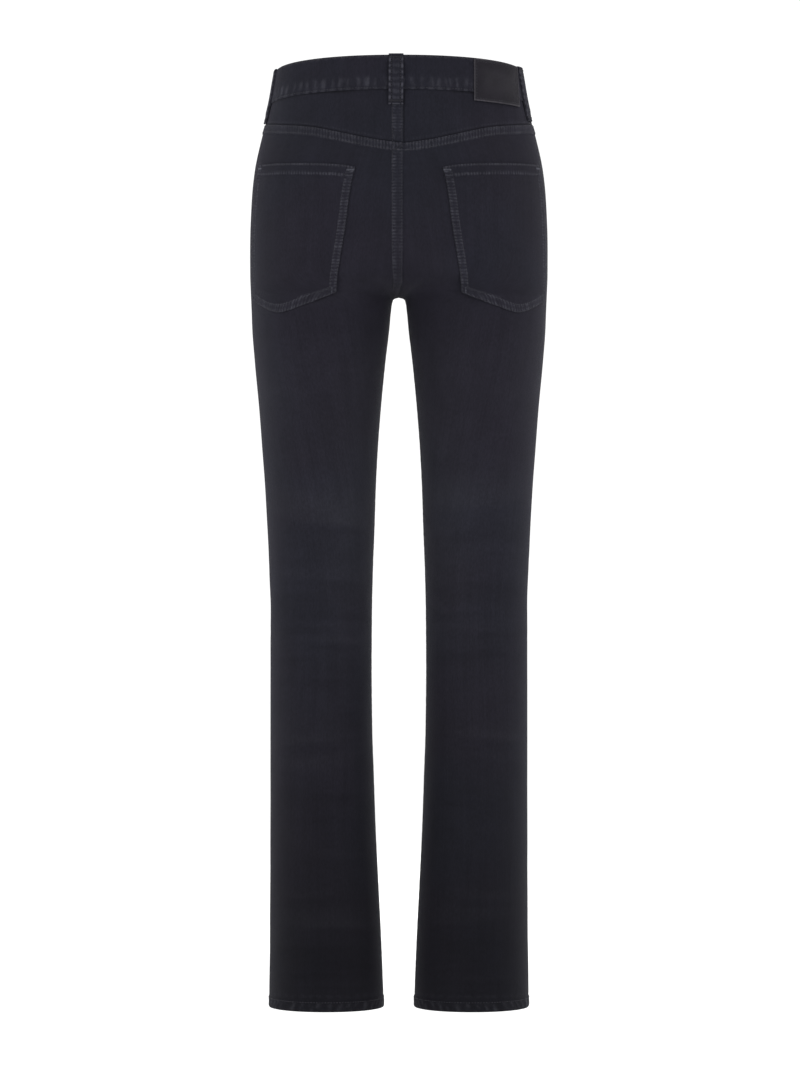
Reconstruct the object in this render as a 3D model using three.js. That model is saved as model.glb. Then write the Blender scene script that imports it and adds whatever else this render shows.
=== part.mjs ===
// Straight leg jeans, filled out as if worn, with nobody in them
// All sizes are millimetres. Up is +Z, the back of the jeans faces +Y, the wearer's left is +X.
// The middle of the waist opening, at half the height of the waistband at the sides, is the origin.
import * as THREE from 'three';

// Driving sizes
const CLOTH = 1.3;
const GAP = 0.3;
const HALF_GAP = GAP / 2;
const BAND_HEIGHT = 38;
const BAND_PROUD = 0.9;
const HEM_Z = -1007;
const HEM_HEIGHT = 12;
const SIDE_SHIFT = 6;
const SEAT_FOLD = { edge: 5, width: 13.6, proud: 1.1 };
const YOKE_FELL = { height: 10, proud: 0.9 };
const FLY = { width: 36, proud: 0.8, straight: -118, foot: -152 };
const SCOOP = { depth: 68, power: 2.2, cover: 25 };
const LOOP = { width: 16, thick: 1.9 };
const PATCH = { from: 82.5, to: 148.8, thick: 1.6, lift: 1.35 };
const POCKET = { inner: 183, outer: 48, hem: 12.3, lift: 0.75, thick: 1.3, proud: 0.6 };
const BUTTON = { x: 14, below: 19, radius: 8.5 };

// Half widths and depths of one side, row by row from the top down
const BODY = [
  { z: 34, out: 132.8, inner: -132.8, back: 87, front: 85 },
  { z: 19, out: 135, inner: -135, back: 90, front: 88 },
  { z: -9, out: 139.6, inner: -139.6, back: 96, front: 92 },
  { z: -34, out: 145.4, inner: -145.4, back: 103, front: 95 },
  { z: -57, out: 151.6, inner: -151.6, back: 109.5, front: 97.5 },
  { z: -89, out: 158.4, inner: -158.4, back: 117.5, front: 99.5 },
  { z: -115, out: 161.3, inner: -161.3, back: 122.5, front: 100.5 },
  { z: -145, out: 162.9, inner: -160, back: 125.5, front: 100.8 },
  { z: -160, out: 163.4, inner: -146, back: 126, front: 100.6 },
  { z: -180, out: 163.6, inner: -106, back: 124.8, front: 100 },
  { z: -200, out: 163.5, inner: -58, back: 121.6, front: 98.6 },
  { z: -210, out: 163.4, inner: -34, back: 119.2, front: 97.6 },
  { z: -218, out: 163, inner: -14.5, back: 116.8, front: 96.8 },
  { z: -224, out: 162.7, inner: -1.2, back: 114.8, front: 96.1 },
  { z: -228, out: 162.5, inner: 3.6, back: 113.4, front: 95.7 },
  { z: -231, out: 162.3, inner: 5.2, back: 112.3, front: 95.3 },
  { z: -242, out: 161.9, inner: 7.3, back: 109, front: 94.2 },
  { z: -264, out: 161.2, inner: 10.5, back: 104.5, front: 92.6 },
  { z: -300, out: 158.4, inner: 14.8, back: 99.3, front: 91 },
  { z: -352, out: 153.5, inner: 19.8, back: 91, front: 89 },
  { z: -396, out: 150.2, inner: 23.1, back: 83.8, front: 86.3 },
  { z: -440, out: 146.9, inner: 25.3, back: 77.5, front: 83 },
  { z: -484, out: 144.6, inner: 26.7, back: 72, front: 79.5 },
  { z: -528, out: 142.5, inner: 28.4, back: 68.5, front: 76 },
  { z: -572, out: 141.5, inner: 29.4, back: 66.5, front: 72.5 },
  { z: -638, out: 141.3, inner: 29.8, back: 67.5, front: 68.5 },
  { z: -704, out: 141.3, inner: 29.1, back: 70.5, front: 64.5 },
  { z: -748, out: 141.3, inner: 27.6, back: 72, front: 62.8 },
  { z: -814, out: 141.4, inner: 25.3, back: 72.5, front: 62 },
  { z: -880, out: 141.6, inner: 22, back: 71.8, front: 63 },
  { z: -946, out: 142.2, inner: 18.8, back: 70.8, front: 64.6 },
  { z: -1010, out: 142.8, inner: 16.4, back: 70, front: 66.2 },
];

// The seam of the yoke, from the centre back to the side
const YOKE_SEAM = [
  { along: 0, z: -67.5 },
  { along: 28, z: -63.6 },
  { along: 51, z: -58.8 },
  { along: 75, z: -53.2 },
  { along: 101, z: -47.9 },
  { along: 133, z: -44.4 },
  { along: 185, z: -40 },
  { along: 220, z: -38.6 },
];

// The top and the foot of a back pocket, across from its inner edge
const POCKET_TOP = [
  { across: 0, z: -94 },
  { across: 0.12, z: -91.1 },
  { across: 0.25, z: -89.6 },
  { across: 0.64, z: -87.1 },
  { across: 1, z: -85.8 },
];
const POCKET_FOOT = [
  { across: 0, z: -228.5 },
  { across: 0.16, z: -236 },
  { across: 0.33, z: -242.6 },
  { across: 0.47, z: -247.9 },
  { across: 0.55, z: -249.4 },
  { across: 0.63, z: -247.9 },
  { across: 0.76, z: -243 },
  { across: 1, z: -234 },
];

// The largest soft folds, by height, share of the way round a leg, and size
const FOLDS = [
  { at: 'under the seat', z: -268, round: 0.27, across: 0.16, tall: 20, drop: -70, deep: 1.6 },
  { at: 'hip crease', z: -205, round: 0.74, across: 0.15, tall: 18, drop: 110, deep: 1.8 },
  { at: 'front thigh', z: -300, round: 0.8, across: 0.12, tall: 26, drop: 60, deep: 1.2 },
  { at: 'above the knee', z: -505, round: 0.24, across: 0.17, tall: 24, drop: 30, deep: 1.3 },
  { at: 'behind the knee', z: -566, round: 0.27, across: 0.19, tall: 26, drop: -24, deep: 1.7 },
  { at: 'below the knee', z: -634, round: 0.22, across: 0.15, tall: 24, drop: 18, deep: 1.1 },
  { at: 'front knee', z: -590, round: 0.77, across: 0.14, tall: 28, drop: 20, deep: 1.2 },
  { at: 'calf', z: -776, round: 0.3, across: 0.13, tall: 24, drop: -30, deep: 1 },
  { at: 'above the hem', z: -950, round: 0.26, across: 0.18, tall: 22, drop: 16, deep: 1.2 },
  { at: 'instep', z: -938, round: 0.76, across: 0.16, tall: 24, drop: -20, deep: 1.5 },
];

// Rows of a panel, as heights at its inner edge and at the side seam
const ROW_STEPS = [
  { inner: -193, outer: -179, steps: 6, ease: 1 },
  { inner: 'crotch', outer: -250, steps: 6, ease: -1.8 },
  { inner: -267, outer: -320, steps: 6, ease: 1.8 },
  { inner: -680, outer: -680, steps: 13, ease: 1 },
  { inner: HEM_Z + 13.5, outer: HEM_Z + 13.5, steps: 9, ease: 1 },
  { inner: HEM_Z + HEM_HEIGHT, outer: HEM_Z + HEM_HEIGHT, steps: 1, ease: 1 },
  { inner: HEM_Z, outer: HEM_Z, steps: 1, ease: 1 },
];

// Belt loops, by millimetres round from the centre back and how far they hang below the band
const LOOPS = [
  { name: 'belt_loop_centre', share: 0.0084, side: 1, below: 17, foot: 1.6 },
  { name: 'belt_loop_side_left', share: 0.472, side: 1, below: 20.5, foot: 0.6 },
  { name: 'belt_loop_side_right', share: 0.436, side: -1, below: 20.5, foot: 0.6 },
  { name: 'belt_loop_front_left', share: 0.81, side: 1, below: 16, foot: 0.6 },
  { name: 'belt_loop_front_right', share: 0.81, side: -1, below: 16, foot: 0.6 },
];

// Colours
const DENIM = new THREE.Color().setRGB(0.155, 0.155, 0.182, THREE.SRGBColorSpace);
const DENIM_WORN = new THREE.Color().setRGB(0.178, 0.178, 0.208, THREE.SRGBColorSpace);
const LEATHER = new THREE.Color().setRGB(0.168, 0.16, 0.178, THREE.SRGBColorSpace);
const METAL = new THREE.Color().setRGB(0.3, 0.3, 0.32, THREE.SRGBColorSpace);

const clamp = (v, low, high) => Math.min(high, Math.max(low, v));
const mix = (a, b, t) => a + (b - a) * t;
const smooth = (t) => { const c = clamp(t, 0, 1); return c * c * (3 - 2 * c); };

// A curve through rows of a table that never overshoots them
function curveOf(rows, key, value) {
  const sorted = [...rows].sort((a, b) => a[key] - b[key]);
  const x = sorted.map((r) => r[key]);
  const y = sorted.map((r) => r[value]);
  const last = x.length - 1;
  const h = [];
  const d = [];
  for (let i = 0; i < last; i++) {
    h.push(x[i + 1] - x[i]);
    d.push((y[i + 1] - y[i]) / h[i]);
  }
  const m = x.map((_, i) => {
    if (i === 0 || i === last) return 0;
    if (d[i - 1] * d[i] <= 0) return 0;
    const w1 = 2 * h[i] + h[i - 1];
    const w2 = h[i] + 2 * h[i - 1];
    return (w1 + w2) / (w1 / d[i - 1] + w2 / d[i]);
  });
  m[0] = endSlope(h[0], h[1] ?? h[0], d[0], d[1] ?? d[0]);
  m[last] = endSlope(h[last - 1], h[last - 2] ?? h[last - 1], d[last - 1], d[last - 2] ?? d[last - 1]);
  return (at) => {
    const v = clamp(at, x[0], x[last]);
    let i = 0;
    while (i < last - 1 && v > x[i + 1]) i++;
    const t = (v - x[i]) / h[i];
    const t2 = t * t;
    const t3 = t2 * t;
    return (2 * t3 - 3 * t2 + 1) * y[i] + (t3 - 2 * t2 + t) * h[i] * m[i]
      + (3 * t2 - 2 * t3) * y[i + 1] + (t3 - t2) * h[i] * m[i + 1];
  };
}

function endSlope(h0, h1, d0, d1) {
  const slope = ((2 * h0 + h1) * d0 - h0 * d1) / (h0 + h1);
  if (slope * d0 <= 0) return 0;
  if (d0 * d1 <= 0 && Math.abs(slope) > 3 * Math.abs(d0)) return 3 * d0;
  return slope;
}

const outAt = curveOf(BODY, 'z', 'out');
const innerAt = curveOf(BODY, 'z', 'inner');
const backAt = curveOf(BODY, 'z', 'back');
const frontAt = curveOf(BODY, 'z', 'front');
const yokeSeamAt = curveOf(YOKE_SEAM, 'along', 'z');
const pocketTopAt = curveOf(POCKET_TOP, 'across', 'z');
const pocketFootAt = curveOf(POCKET_FOOT, 'across', 'z');

// One side of the body at a height: a rounded ring, cut off at the middle above the crotch
// The ring bends softly into the middle seam over this width
const MIDDLE = 5.5;
const SAMPLES = 300;
const cache = new Map();

function halfRing(z, depth, sign) {
  const out = outAt(z);
  const inner = innerAt(z);
  const n = 2.1 + 0.12 * clamp((z + 330) / 180, 0, 1);
  const cx = (out + inner) / 2;
  const a = (out - inner) / 2;
  const points = [];
  for (let i = 0; i < SAMPLES; i++) {
    const phi = -Math.PI / 2 + (Math.PI * i) / (SAMPLES - 1);
    const s = Math.sin(phi);
    const x = cx + a * Math.sign(s) * Math.abs(s) ** (2 / n);
    points.push([x, sign * depth * Math.abs(Math.cos(phi)) ** (2 / n)]);
  }
  if (inner >= MIDDLE) return { points, rise: null };
  const u = Math.abs(MIDDLE - cx) / a;
  const rest = 1 - u ** n;
  const y = depth * rest ** (1 / n);
  const slope = ((depth * rest ** (1 / n - 1) * u ** (n - 1)) / a) * Math.sign(cx - MIDDLE);
  return {
    points: points.filter((p) => p[0] > MIDDLE),
    rise: y - (slope * MIDDLE) / 2,
    bend: slope / (2 * MIDDLE),
  };
}

function ringAt(z) {
  const key = Math.round(z * 1e4);
  if (cache.has(key)) return cache.get(key);
  const back = halfRing(z, backAt(z), 1);
  const front = halfRing(z, frontAt(z), -1);
  let joined = back.points;
  let frontJoined = front.points;
  let open = false;
  if (back.rise !== null) {
    const sum = back.rise + front.rise;
    open = sum > 0;
    const start = open ? 0 : Math.sqrt(-sum / (back.bend + front.bend));
    const soft = (half, sign) => Array.from({ length: 24 }, (_, i) => {
      const x = mix(start, MIDDLE, i / 24);
      return [x, sign * (half.rise + half.bend * x * x)];
    });
    joined = [...soft(back, 1), ...back.points];
    frontJoined = [...soft(front, -1), ...front.points];
  }
  const points = [...joined, ...frontJoined.reverse().slice(1)];
  const along = [0];
  for (let i = 1; i < points.length; i++) {
    const dx = points[i][0] - points[i - 1][0];
    const dy = points[i][1] - points[i - 1][1];
    along.push(along[i - 1] + Math.hypot(dx, dy));
  }
  const total = along[along.length - 1];
  const ring = { points, along, total, side: along[joined.length - 1] + SIDE_SHIFT, open };
  ring.meet = (points[0][1] + points[points.length - 1][1]) / 2;
  cache.set(key, ring);
  return ring;
}

function onRing(ring, s) {
  const v = Math.abs(s);
  let low = 0;
  let high = ring.along.length - 1;
  while (high - low > 1) {
    const half = (low + high) >> 1;
    if (ring.along[half] <= v) low = half;
    else high = half;
  }
  const t = (v - ring.along[low]) / (ring.along[high] - ring.along[low] || 1);
  const x = mix(ring.points[low][0], ring.points[high][0], t);
  const y = mix(ring.points[low][1], ring.points[high][1], t);
  return [s < 0 ? -x : x, y];
}

// The height where the two legs part
const CROTCH_Z = (() => {
  let high = -200;
  let low = -235;
  for (let i = 0; i < 50; i++) {
    const half = (high + low) / 2;
    if (ringAt(half).open) high = half;
    else low = half;
  }
  return high;
})();

// Soft folds push the cloth in, and a little out beside the trough
function foldDepth(z, round, side) {
  let depth = 0;
  for (const f of FOLDS) {
    const shift = side > 0 ? 0 : 14;
    const share = side > 0 ? 1 : 0.85;
    const a = (round - f.round) / f.across;
    const b = (z - f.z - shift - f.drop * (round - f.round)) / f.tall;
    depth += share * f.deep * Math.exp(-a * a) * (Math.exp(-b * b) - 0.35 * Math.exp(-((b - 1.7) ** 2)));
  }
  return depth;
}

// A point of the cloth, by height and distance round from the middle of the back
function cloth(z, s, side) {
  const ring = ringAt(z);
  const [x, y] = onRing(ring, s);
  const step = 0.5;
  const [x1, y1] = onRing(ring, Math.min(s + step, ring.total));
  const [x0, y0] = onRing(ring, Math.max(s - step, ring.open ? -ring.total : 0));
  const length = Math.hypot(x1 - x0, y1 - y0) || 1;
  const fade = ring.open ? smooth(Math.abs(s) / 30) * smooth((ring.total - s) / 30) : 1;
  const edge = ring.open ? fade : smooth(s / 12) * smooth((ring.total - s) / 12);
  const push = foldDepth(z, s / ring.total, side) * edge;
  const nx = -(y1 - y0) / length;
  const ny = (x1 - x0) / length;
  return [side * (x - push * nx), y - push * ny, z];
}

// Height of the top edge of the waistband, by the share of the way round from the centre back
function bandTop(share) {
  const c = Math.cos(Math.PI * share);
  return 19 + 15.5 * c - 4.5 * c * c;
}
const bandFoot = (share) => bandTop(share) - BAND_HEIGHT;

// Vector work on plain points
const sub = (a, b) => [a[0] - b[0], a[1] - b[1], a[2] - b[2]];
const dot = (a, b) => a[0] * b[0] + a[1] * b[1] + a[2] * b[2];
const cross = (a, b) => [
  a[1] * b[2] - a[2] * b[1],
  a[2] * b[0] - a[0] * b[2],
  a[0] * b[1] - a[1] * b[0],
];
const unit = (a) => { const l = Math.hypot(...a) || 1; return a.map((v) => v / l); };
const move = (p, n, d) => [p[0] + n[0] * d, p[1] + n[1] * d, p[2] + n[2] * d];

function grid(rows, columns, point) {
  return Array.from({ length: rows }, (_, r) => Array.from({ length: columns }, (_, c) => point(r, c)));
}

function normalsOf(points, side) {
  const rows = points.length;
  const columns = points[0].length;
  return grid(rows, columns, (r, c) => {
    const down = sub(points[Math.min(r + 1, rows - 1)][c], points[Math.max(r - 1, 0)][c]);
    const round = sub(points[r][Math.min(c + 1, columns - 1)], points[r][Math.max(c - 1, 0)]);
    return unit(cross(down, round).map((v) => v * side));
  });
}

// A closed body between two grids of the same size
function slab(name, outer, inner, colour, finish = {}) {
  const rows = outer.length;
  const columns = outer[0].length;
  const count = rows * columns;
  const position = [...outer.flat(), ...inner.flat()].flat();
  const at = (layer, r, c) => layer * count + r * columns + c;
  let index = [];
  const quad = (a, b, c, d) => index.push(a, b, c, a, c, d);
  for (let r = 0; r < rows - 1; r++) {
    for (let c = 0; c < columns - 1; c++) {
      quad(at(0, r, c), at(0, r + 1, c), at(0, r + 1, c + 1), at(0, r, c + 1));
      quad(at(1, r, c), at(1, r, c + 1), at(1, r + 1, c + 1), at(1, r + 1, c));
    }
  }
  for (let r = 0; r < rows - 1; r++) {
    quad(at(0, r, 0), at(1, r, 0), at(1, r + 1, 0), at(0, r + 1, 0));
    const e = columns - 1;
    quad(at(0, r, e), at(0, r + 1, e), at(1, r + 1, e), at(1, r, e));
  }
  for (let c = 0; c < columns - 1; c++) {
    quad(at(0, 0, c), at(0, 0, c + 1), at(1, 0, c + 1), at(1, 0, c));
    const e = rows - 1;
    quad(at(0, e, c), at(1, e, c), at(1, e, c + 1), at(0, e, c + 1));
  }
  let volume = 0;
  const vertex = (i) => position.slice(3 * i, 3 * i + 3);
  for (let i = 0; i < index.length; i += 3) {
    volume += dot(vertex(index[i]), cross(vertex(index[i + 1]), vertex(index[i + 2])));
  }
  if (volume < 0) index = index.map((_, i) => index[i % 3 === 0 ? i : i % 3 === 1 ? i + 1 : i - 1]);
  return meshOf(name, position, index, colour, finish);
}

function meshOf(name, position, index, colour, finish) {
  const geometry = new THREE.BufferGeometry();
  geometry.setAttribute('position', new THREE.Float32BufferAttribute(position, 3));
  geometry.setIndex(index);
  geometry.computeVertexNormals();
  const material = new THREE.MeshStandardMaterial({
    color: colour,
    roughness: finish.roughness ?? 0.9,
    metalness: finish.metalness ?? 0,
    side: THREE.FrontSide,
  });
  const mesh = new THREE.Mesh(geometry, material);
  mesh.name = name;
  return mesh;
}

// Rows of a panel below its top edge
const ROWS = (() => {
  const rows = [];
  let inner = null;
  let outer = null;
  ROW_STEPS.forEach((step, k) => {
    const innerEnd = step.inner === 'crotch' ? CROTCH_Z : step.inner;
    for (let i = 1; i <= step.steps; i++) {
      const t = i / step.steps;
      const eased = step.ease < 0 ? 1 - (1 - t) ** -step.ease : t ** step.ease;
      rows.push({
        first: k === 0 ? 1 - t : 0,
        inner: k === 0 ? mix(0, innerEnd, t) : mix(inner, innerEnd, eased),
        outer: k === 0 ? mix(0, step.outer, t) : mix(outer, step.outer, t),
        crotch: k === 1 && i === step.steps,
        leg: k > 1,
      });
    }
    inner = innerEnd;
    outer = step.outer;
  });
  return rows;
})();

// The rows of one panel: the rows under the top edge, then the shared rows
function panelRows(edge, lead) {
  const head = lead.map((drop) => ({ drop, top: true }));
  return [...head, ...ROWS].map((row) => ({
    ...row,
    height: (f) => {
      if (row.top) return edge(f) - row.drop;
      const low = lead[lead.length - 1];
      const line = mix(row.inner, row.outer, f);
      return row.first > 0 ? row.first * (edge(f) - low) + line : line;
    },
  }));
}

// The way out of the cloth at the side seam, the same for the two panels that meet there
function sideNormal(z, side) {
  const at = (height, shift) => cloth(height, ringAt(height).side + shift, side);
  const n = unit(cross(sub(at(z - 2, 0), at(z + 2, 0)), sub(at(z, 1), at(z, -1))));
  return n[0] * side < 0 ? n.map((v) => -v) : n;
}

// A leg panel. The back is measured from the centre back, the front from the centre front.
function panel(name, side, isBack, edge, lead, startOf, columnsOf, raiseOf) {
  const rows = panelRows(edge, lead);
  const count = columnsOf(200).length;
  const place = (row, c) => {
    let z = row.height(0);
    let share = 0;
    for (let i = 0; i < 3; i++) {
      const ring = ringAt(z);
      const length = isBack ? ring.side : ring.total - ring.side;
      share = columnsOf(length)[c];
      z = row.height(share);
    }
    const ring = ringAt(z);
    const length = (isBack ? ring.side : ring.total - ring.side) - HALF_GAP;
    const start = startOf(z, row);
    const s = mix(start, length, share);
    const p = cloth(z, isBack ? s : ring.total - s, side);
    if (c === 0 && (row.leg || row.crotch)) {
      p[1] = isBack ? Math.max(p[1], ring.meet + HALF_GAP) : Math.min(p[1], ring.meet - HALF_GAP);
    }
    return p;
  };
  const surface = grid(rows.length, count, (r, c) => place(rows[r], c));
  const normals = normalsOf(surface, isBack ? side : -side);
  const mid = surface[rows.length - 4][Math.floor(count / 2)];
  const facing = normals[rows.length - 4][Math.floor(count / 2)];
  const sign = Math.sign(facing[1] * mid[1]) || 1;
  const steer = grid(rows.length, count, (r, c) => {
    let n = normals[r][c].map((v) => v * sign);
    if (c === 0) {
      if (rows[r].crotch) n = [0, 0, -1];
      else if (rows[r].leg) n = [n[0], 0, n[2]];
      else n = [0, n[1], n[2]];
    }
    if (c === count - 1) n = sideNormal(surface[r][c][2], side);
    if (r === rows.length - 1) n = [n[0], n[1], 0];
    return unit(n);
  });
  const last = rows.length - 1;
  const outer = grid(rows.length, count, (r, c) => {
    const hem = r >= last - 1 ? 0.5 : 0;
    return move(surface[r][c], steer[r][c], raiseOf(rows[r], r, c) + hem);
  });
  const inner = grid(rows.length, count, (r, c) => {
    const hem = r >= last - 1 ? 1.2 : 0;
    return move(surface[r][c], steer[r][c], -CLOTH - hem);
  });
  return slab(name, outer, inner, DENIM);
}

// Where the seat seam runs: its folded edge lies a little to one side, and closes in at the crotch
const seatEdge = (z) => SEAT_FOLD.edge * smooth((z - CROTCH_Z) / 34);

function backColumns(length) {
  const fold = SEAT_FOLD.width / length;
  const after = fold + 1.5 / length;
  return [0, fold, ...Array.from({ length: 12 }, (_, i) => mix(after, 1, i / 11))];
}

function frontColumns(length) {
  const fly = FLY.width / length;
  const after = fly + 1.5 / length;
  return [0, fly, ...Array.from({ length: 12 }, (_, i) => mix(after, 1, i / 11))];
}

const trimmed = (z, row) => (row.leg ? 0.2 : HALF_GAP);

function backStart(side) {
  return (z, row) => (row.leg || row.crotch ? trimmed(z, row) : HALF_GAP - side * seatEdge(z));
}

function yokeEdge(share) {
  const length = ringAt(-50).side;
  return yokeSeamAt(share * length);
}

function backPanel(name, side) {
  const raise = (row, r, c) => {
    const fell = r < 2 ? YOKE_FELL.proud : 0;
    const fold = side > 0 && c < 2 && !row.leg ? SEAT_FOLD.proud : 0;
    return Math.max(fell, fold);
  };
  const lead = [HALF_GAP, YOKE_FELL.height, YOKE_FELL.height + 1.5];
  return panel(name, side, true, yokeEdge, lead, backStart(side), backColumns, raise);
}

// The yoke lies between the waistband and the back panel
function yoke(name, side) {
  const rows = 5;
  const columns = backColumns(200).length;
  const place = (r, c) => {
    const share = backColumns(205)[c];
    const low = yokeEdge(share) + HALF_GAP;
    const ringShare = (share * ringAt(-20).side) / ringAt(-20).total;
    const z = mix(bandFoot(ringShare) - GAP, low, r / (rows - 1));
    const ring = ringAt(z);
    const s = mix(HALF_GAP - side * SEAT_FOLD.edge, ring.side - HALF_GAP, share);
    return cloth(z, s, side);
  };
  const surface = grid(rows, columns, place);
  const normals = normalsOf(surface, side);
  const sign = Math.sign(normals[2][4][1]) || 1;
  const steer = grid(rows, columns, (r, c) => unit([
    c === 0 ? 0 : sign * normals[r][c][0],
    sign * normals[r][c][1],
    sign * normals[r][c][2],
  ]));
  const fold = (c) => (side > 0 && c < 2 ? SEAT_FOLD.proud : 0);
  const outer = grid(rows, columns, (r, c) => move(surface[r][c], steer[r][c], fold(c)));
  const inner = grid(rows, columns, (r, c) => move(surface[r][c], steer[r][c], -CLOTH));
  return slab(name, outer, inner, DENIM);
}

// The front panel has a scoop cut out of its top outer corner
const SCOOP_START = frontColumns(187)[4];

function scoopDrop(share) {
  if (share <= SCOOP_START) return 0;
  const t = (share - SCOOP_START) / (1 - SCOOP_START);
  return SCOOP.depth * (1 - (1 - t) ** SCOOP.power);
}

function frontRingShare(share) {
  const ring = ringAt(-30);
  return 1 - (share * (ring.total - ring.side)) / ring.total;
}

const frontEdge = (share) => bandFoot(frontRingShare(share)) - GAP - 0.1 - scoopDrop(share);

function flyWidth(z) {
  if (z > FLY.straight) return 1;
  if (z < FLY.foot) return 0;
  const t = (FLY.straight - z) / (FLY.straight - FLY.foot);
  return Math.sqrt(1 - t * t);
}

function frontPanel(name, side) {
  const raise = (row, r, c) => {
    if (side < 0 || c > 1 || row.leg) return 0;
    const wide = flyWidth(row.height(0));
    return FLY.proud * (c === 0 ? Math.min(1, wide * 2) : smooth((wide - 0.6) / 0.4));
  };
  return panel(name, side, false, frontEdge, [0, 12], trimmed, frontColumns, raise);
}

// The cloth seen inside the scoop, one wall below the front panel
function pocketFacing(name, side) {
  const rows = 6;
  const columns = 9;
  const place = (r, c) => {
    const share = mix(SCOOP_START - 0.07, 1, c / (columns - 1));
    const top = bandFoot(frontRingShare(share)) - GAP;
    const z = mix(top, top - scoopDrop(share) - SCOOP.cover, r / (rows - 1));
    const ring = ringAt(z);
    const length = ring.total - ring.side - HALF_GAP;
    return cloth(z, ring.total - share * length, side);
  };
  const surface = grid(rows, columns, place);
  const normals = normalsOf(surface, side);
  const sign = -Math.sign(normals[2][2][1]) || 1;
  const shift = (depth) => grid(rows, columns, (r, c) => {
    return move(surface[r][c], normals[r][c].map((v) => v * sign), -depth);
  });
  return slab(name, shift(CLOTH + 2 * GAP), shift(2 * CLOTH + 2 * GAP), DENIM);
}

// A point beside the ring at a height, moved straight out by a distance
function beside(z, s, side, out) {
  const ring = ringAt(z);
  const limit = ring.total;
  const wrapped = s > limit ? 2 * limit - s : s;
  const flip = s > limit ? -1 : 1;
  const [x, y] = onRing(ring, wrapped);
  const [x1, y1] = onRing(ring, Math.min(wrapped + 1, limit));
  const [x0, y0] = onRing(ring, Math.max(wrapped - 1, -limit));
  const length = Math.hypot(x1 - x0, y1 - y0) || 1;
  const nx = -(y1 - y0) / length;
  const ny = (x1 - x0) / length;
  return [side * flip * (x + out * nx), y + out * ny, z];
}

// The waistband is one strip that overlaps itself at the front, the wearer's left end on top
const UNDER = 36;

function waistband() {
  const rows = 4;
  const half = 30;
  const extra = 5;
  const columns = 2 * half + 1 + extra;
  const under = -CLOTH - 2 * GAP;
  const stations = Array.from({ length: columns }, (_, c) => {
    if (c <= 2 * half) return 1 - c / half;
    return -1 - ((c - 2 * half) / extra) * (UNDER / ringAt(0).total);
  });
  const build = (depth) => grid(rows, columns, (r, c) => {
    const q = c === 0 ? 1 - HALF_GAP / 370 : stations[c];
    const share = Math.abs(q) > 1 ? 2 - Math.abs(q) : Math.abs(q);
    const z = bandTop(share) - (BAND_HEIGHT * r) / (rows - 1);
    const total = ringAt(z).total;
    const back = smooth((-q - 0.9) / 0.1);
    const out = mix(BAND_PROUD, under, back) - depth;
    return beside(z, Math.abs(q) * total, q < 0 ? -1 : 1, out);
  });
  return slab('waistband', build(0), build(BAND_PROUD + CLOTH), DENIM);
}

// A belt loop follows the band, stands off it in the middle and is sewn down at both ends
function beltLoop({ name, share, side, below, foot: lift }) {
  const top = bandTop(share) + 1.2;
  const foot = bandFoot(share);
  const end = foot - below;
  const path = [
    { z: top, off: 1.35 },
    { z: top - 6.5, off: 1.35 },
    { z: top - 10.5, off: 3.5 },
    { z: mix(top, foot, 0.6), off: 4.25 },
    { z: foot + 1, off: 3.9 },
    { z: mix(foot, end + 7, 0.6), off: 1.5 + lift },
    { z: end + 7, off: lift },
    { z: end, off: lift },
  ];
  const columns = 4;
  const build = (thick) => grid(path.length, columns, (r, c) => {
    const s = share * ringAt(path[r].z).total + LOOP.width * (c / (columns - 1) - 0.5);
    return beside(path[r].z, s, side, path[r].off + thick);
  });
  return slab(name, build(LOOP.thick), build(0), DENIM_WORN);
}

// The blank leather patch on the wearer's right, over the band and a little of the yoke
function patch() {
  const rows = 4;
  const columns = 7;
  const build = (out) => grid(rows, columns, (r, c) => {
    const t = c / (columns - 1);
    const s = mix(PATCH.from, PATCH.to, t);
    const top = bandTop(s / 360) - 0.9;
    const foot = mix(-19.3, -22.8, t);
    return beside(mix(top, foot, r / (rows - 1)), s, -1, out);
  });
  const finish = { roughness: 0.62 };
  return slab('leather_patch', build(PATCH.lift + PATCH.thick), build(PATCH.lift), LEATHER, finish);
}

// A back pocket, sewn on the panel and measured from the side seam
function backPocket(name, side) {
  const across = [0, 0.08, 0.17, 0.27, 0.37, 0.46, 0.55, 0.64, 0.73, 0.83, 0.92, 1];
  const hem = POCKET.hem / 150;
  const down = [0, hem, hem + 0.01, 0.2, 0.32, 0.44, 0.56, 0.66, 0.75, 0.82, 0.88, 0.94, 1];
  const surface = grid(down.length, across.length, (r, c) => {
    const u = across[c];
    const v = down[r];
    const z = mix(pocketTopAt(u), pocketFootAt(u), v);
    const inner = POCKET.inner - 6 * v ** 4;
    const outer = POCKET.outer - 3 * Math.sin(Math.PI * Math.min(1, v * 1.3)) + 2 * v;
    return cloth(z, ringAt(z).side - mix(inner, outer, u), side);
  });
  const normals = normalsOf(surface, side);
  const sign = Math.sign(normals[4][4][1]) || 1;
  const shift = (extra) => grid(down.length, across.length, (r, c) => {
    const proud = extra && r < 2 ? POCKET.proud : 0;
    const out = POCKET.lift + (extra ? POCKET.thick : 0) + proud;
    return move(surface[r][c], normals[r][c].map((v) => v * sign), out);
  });
  return slab(name, shift(true), shift(false), DENIM);
}

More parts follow.
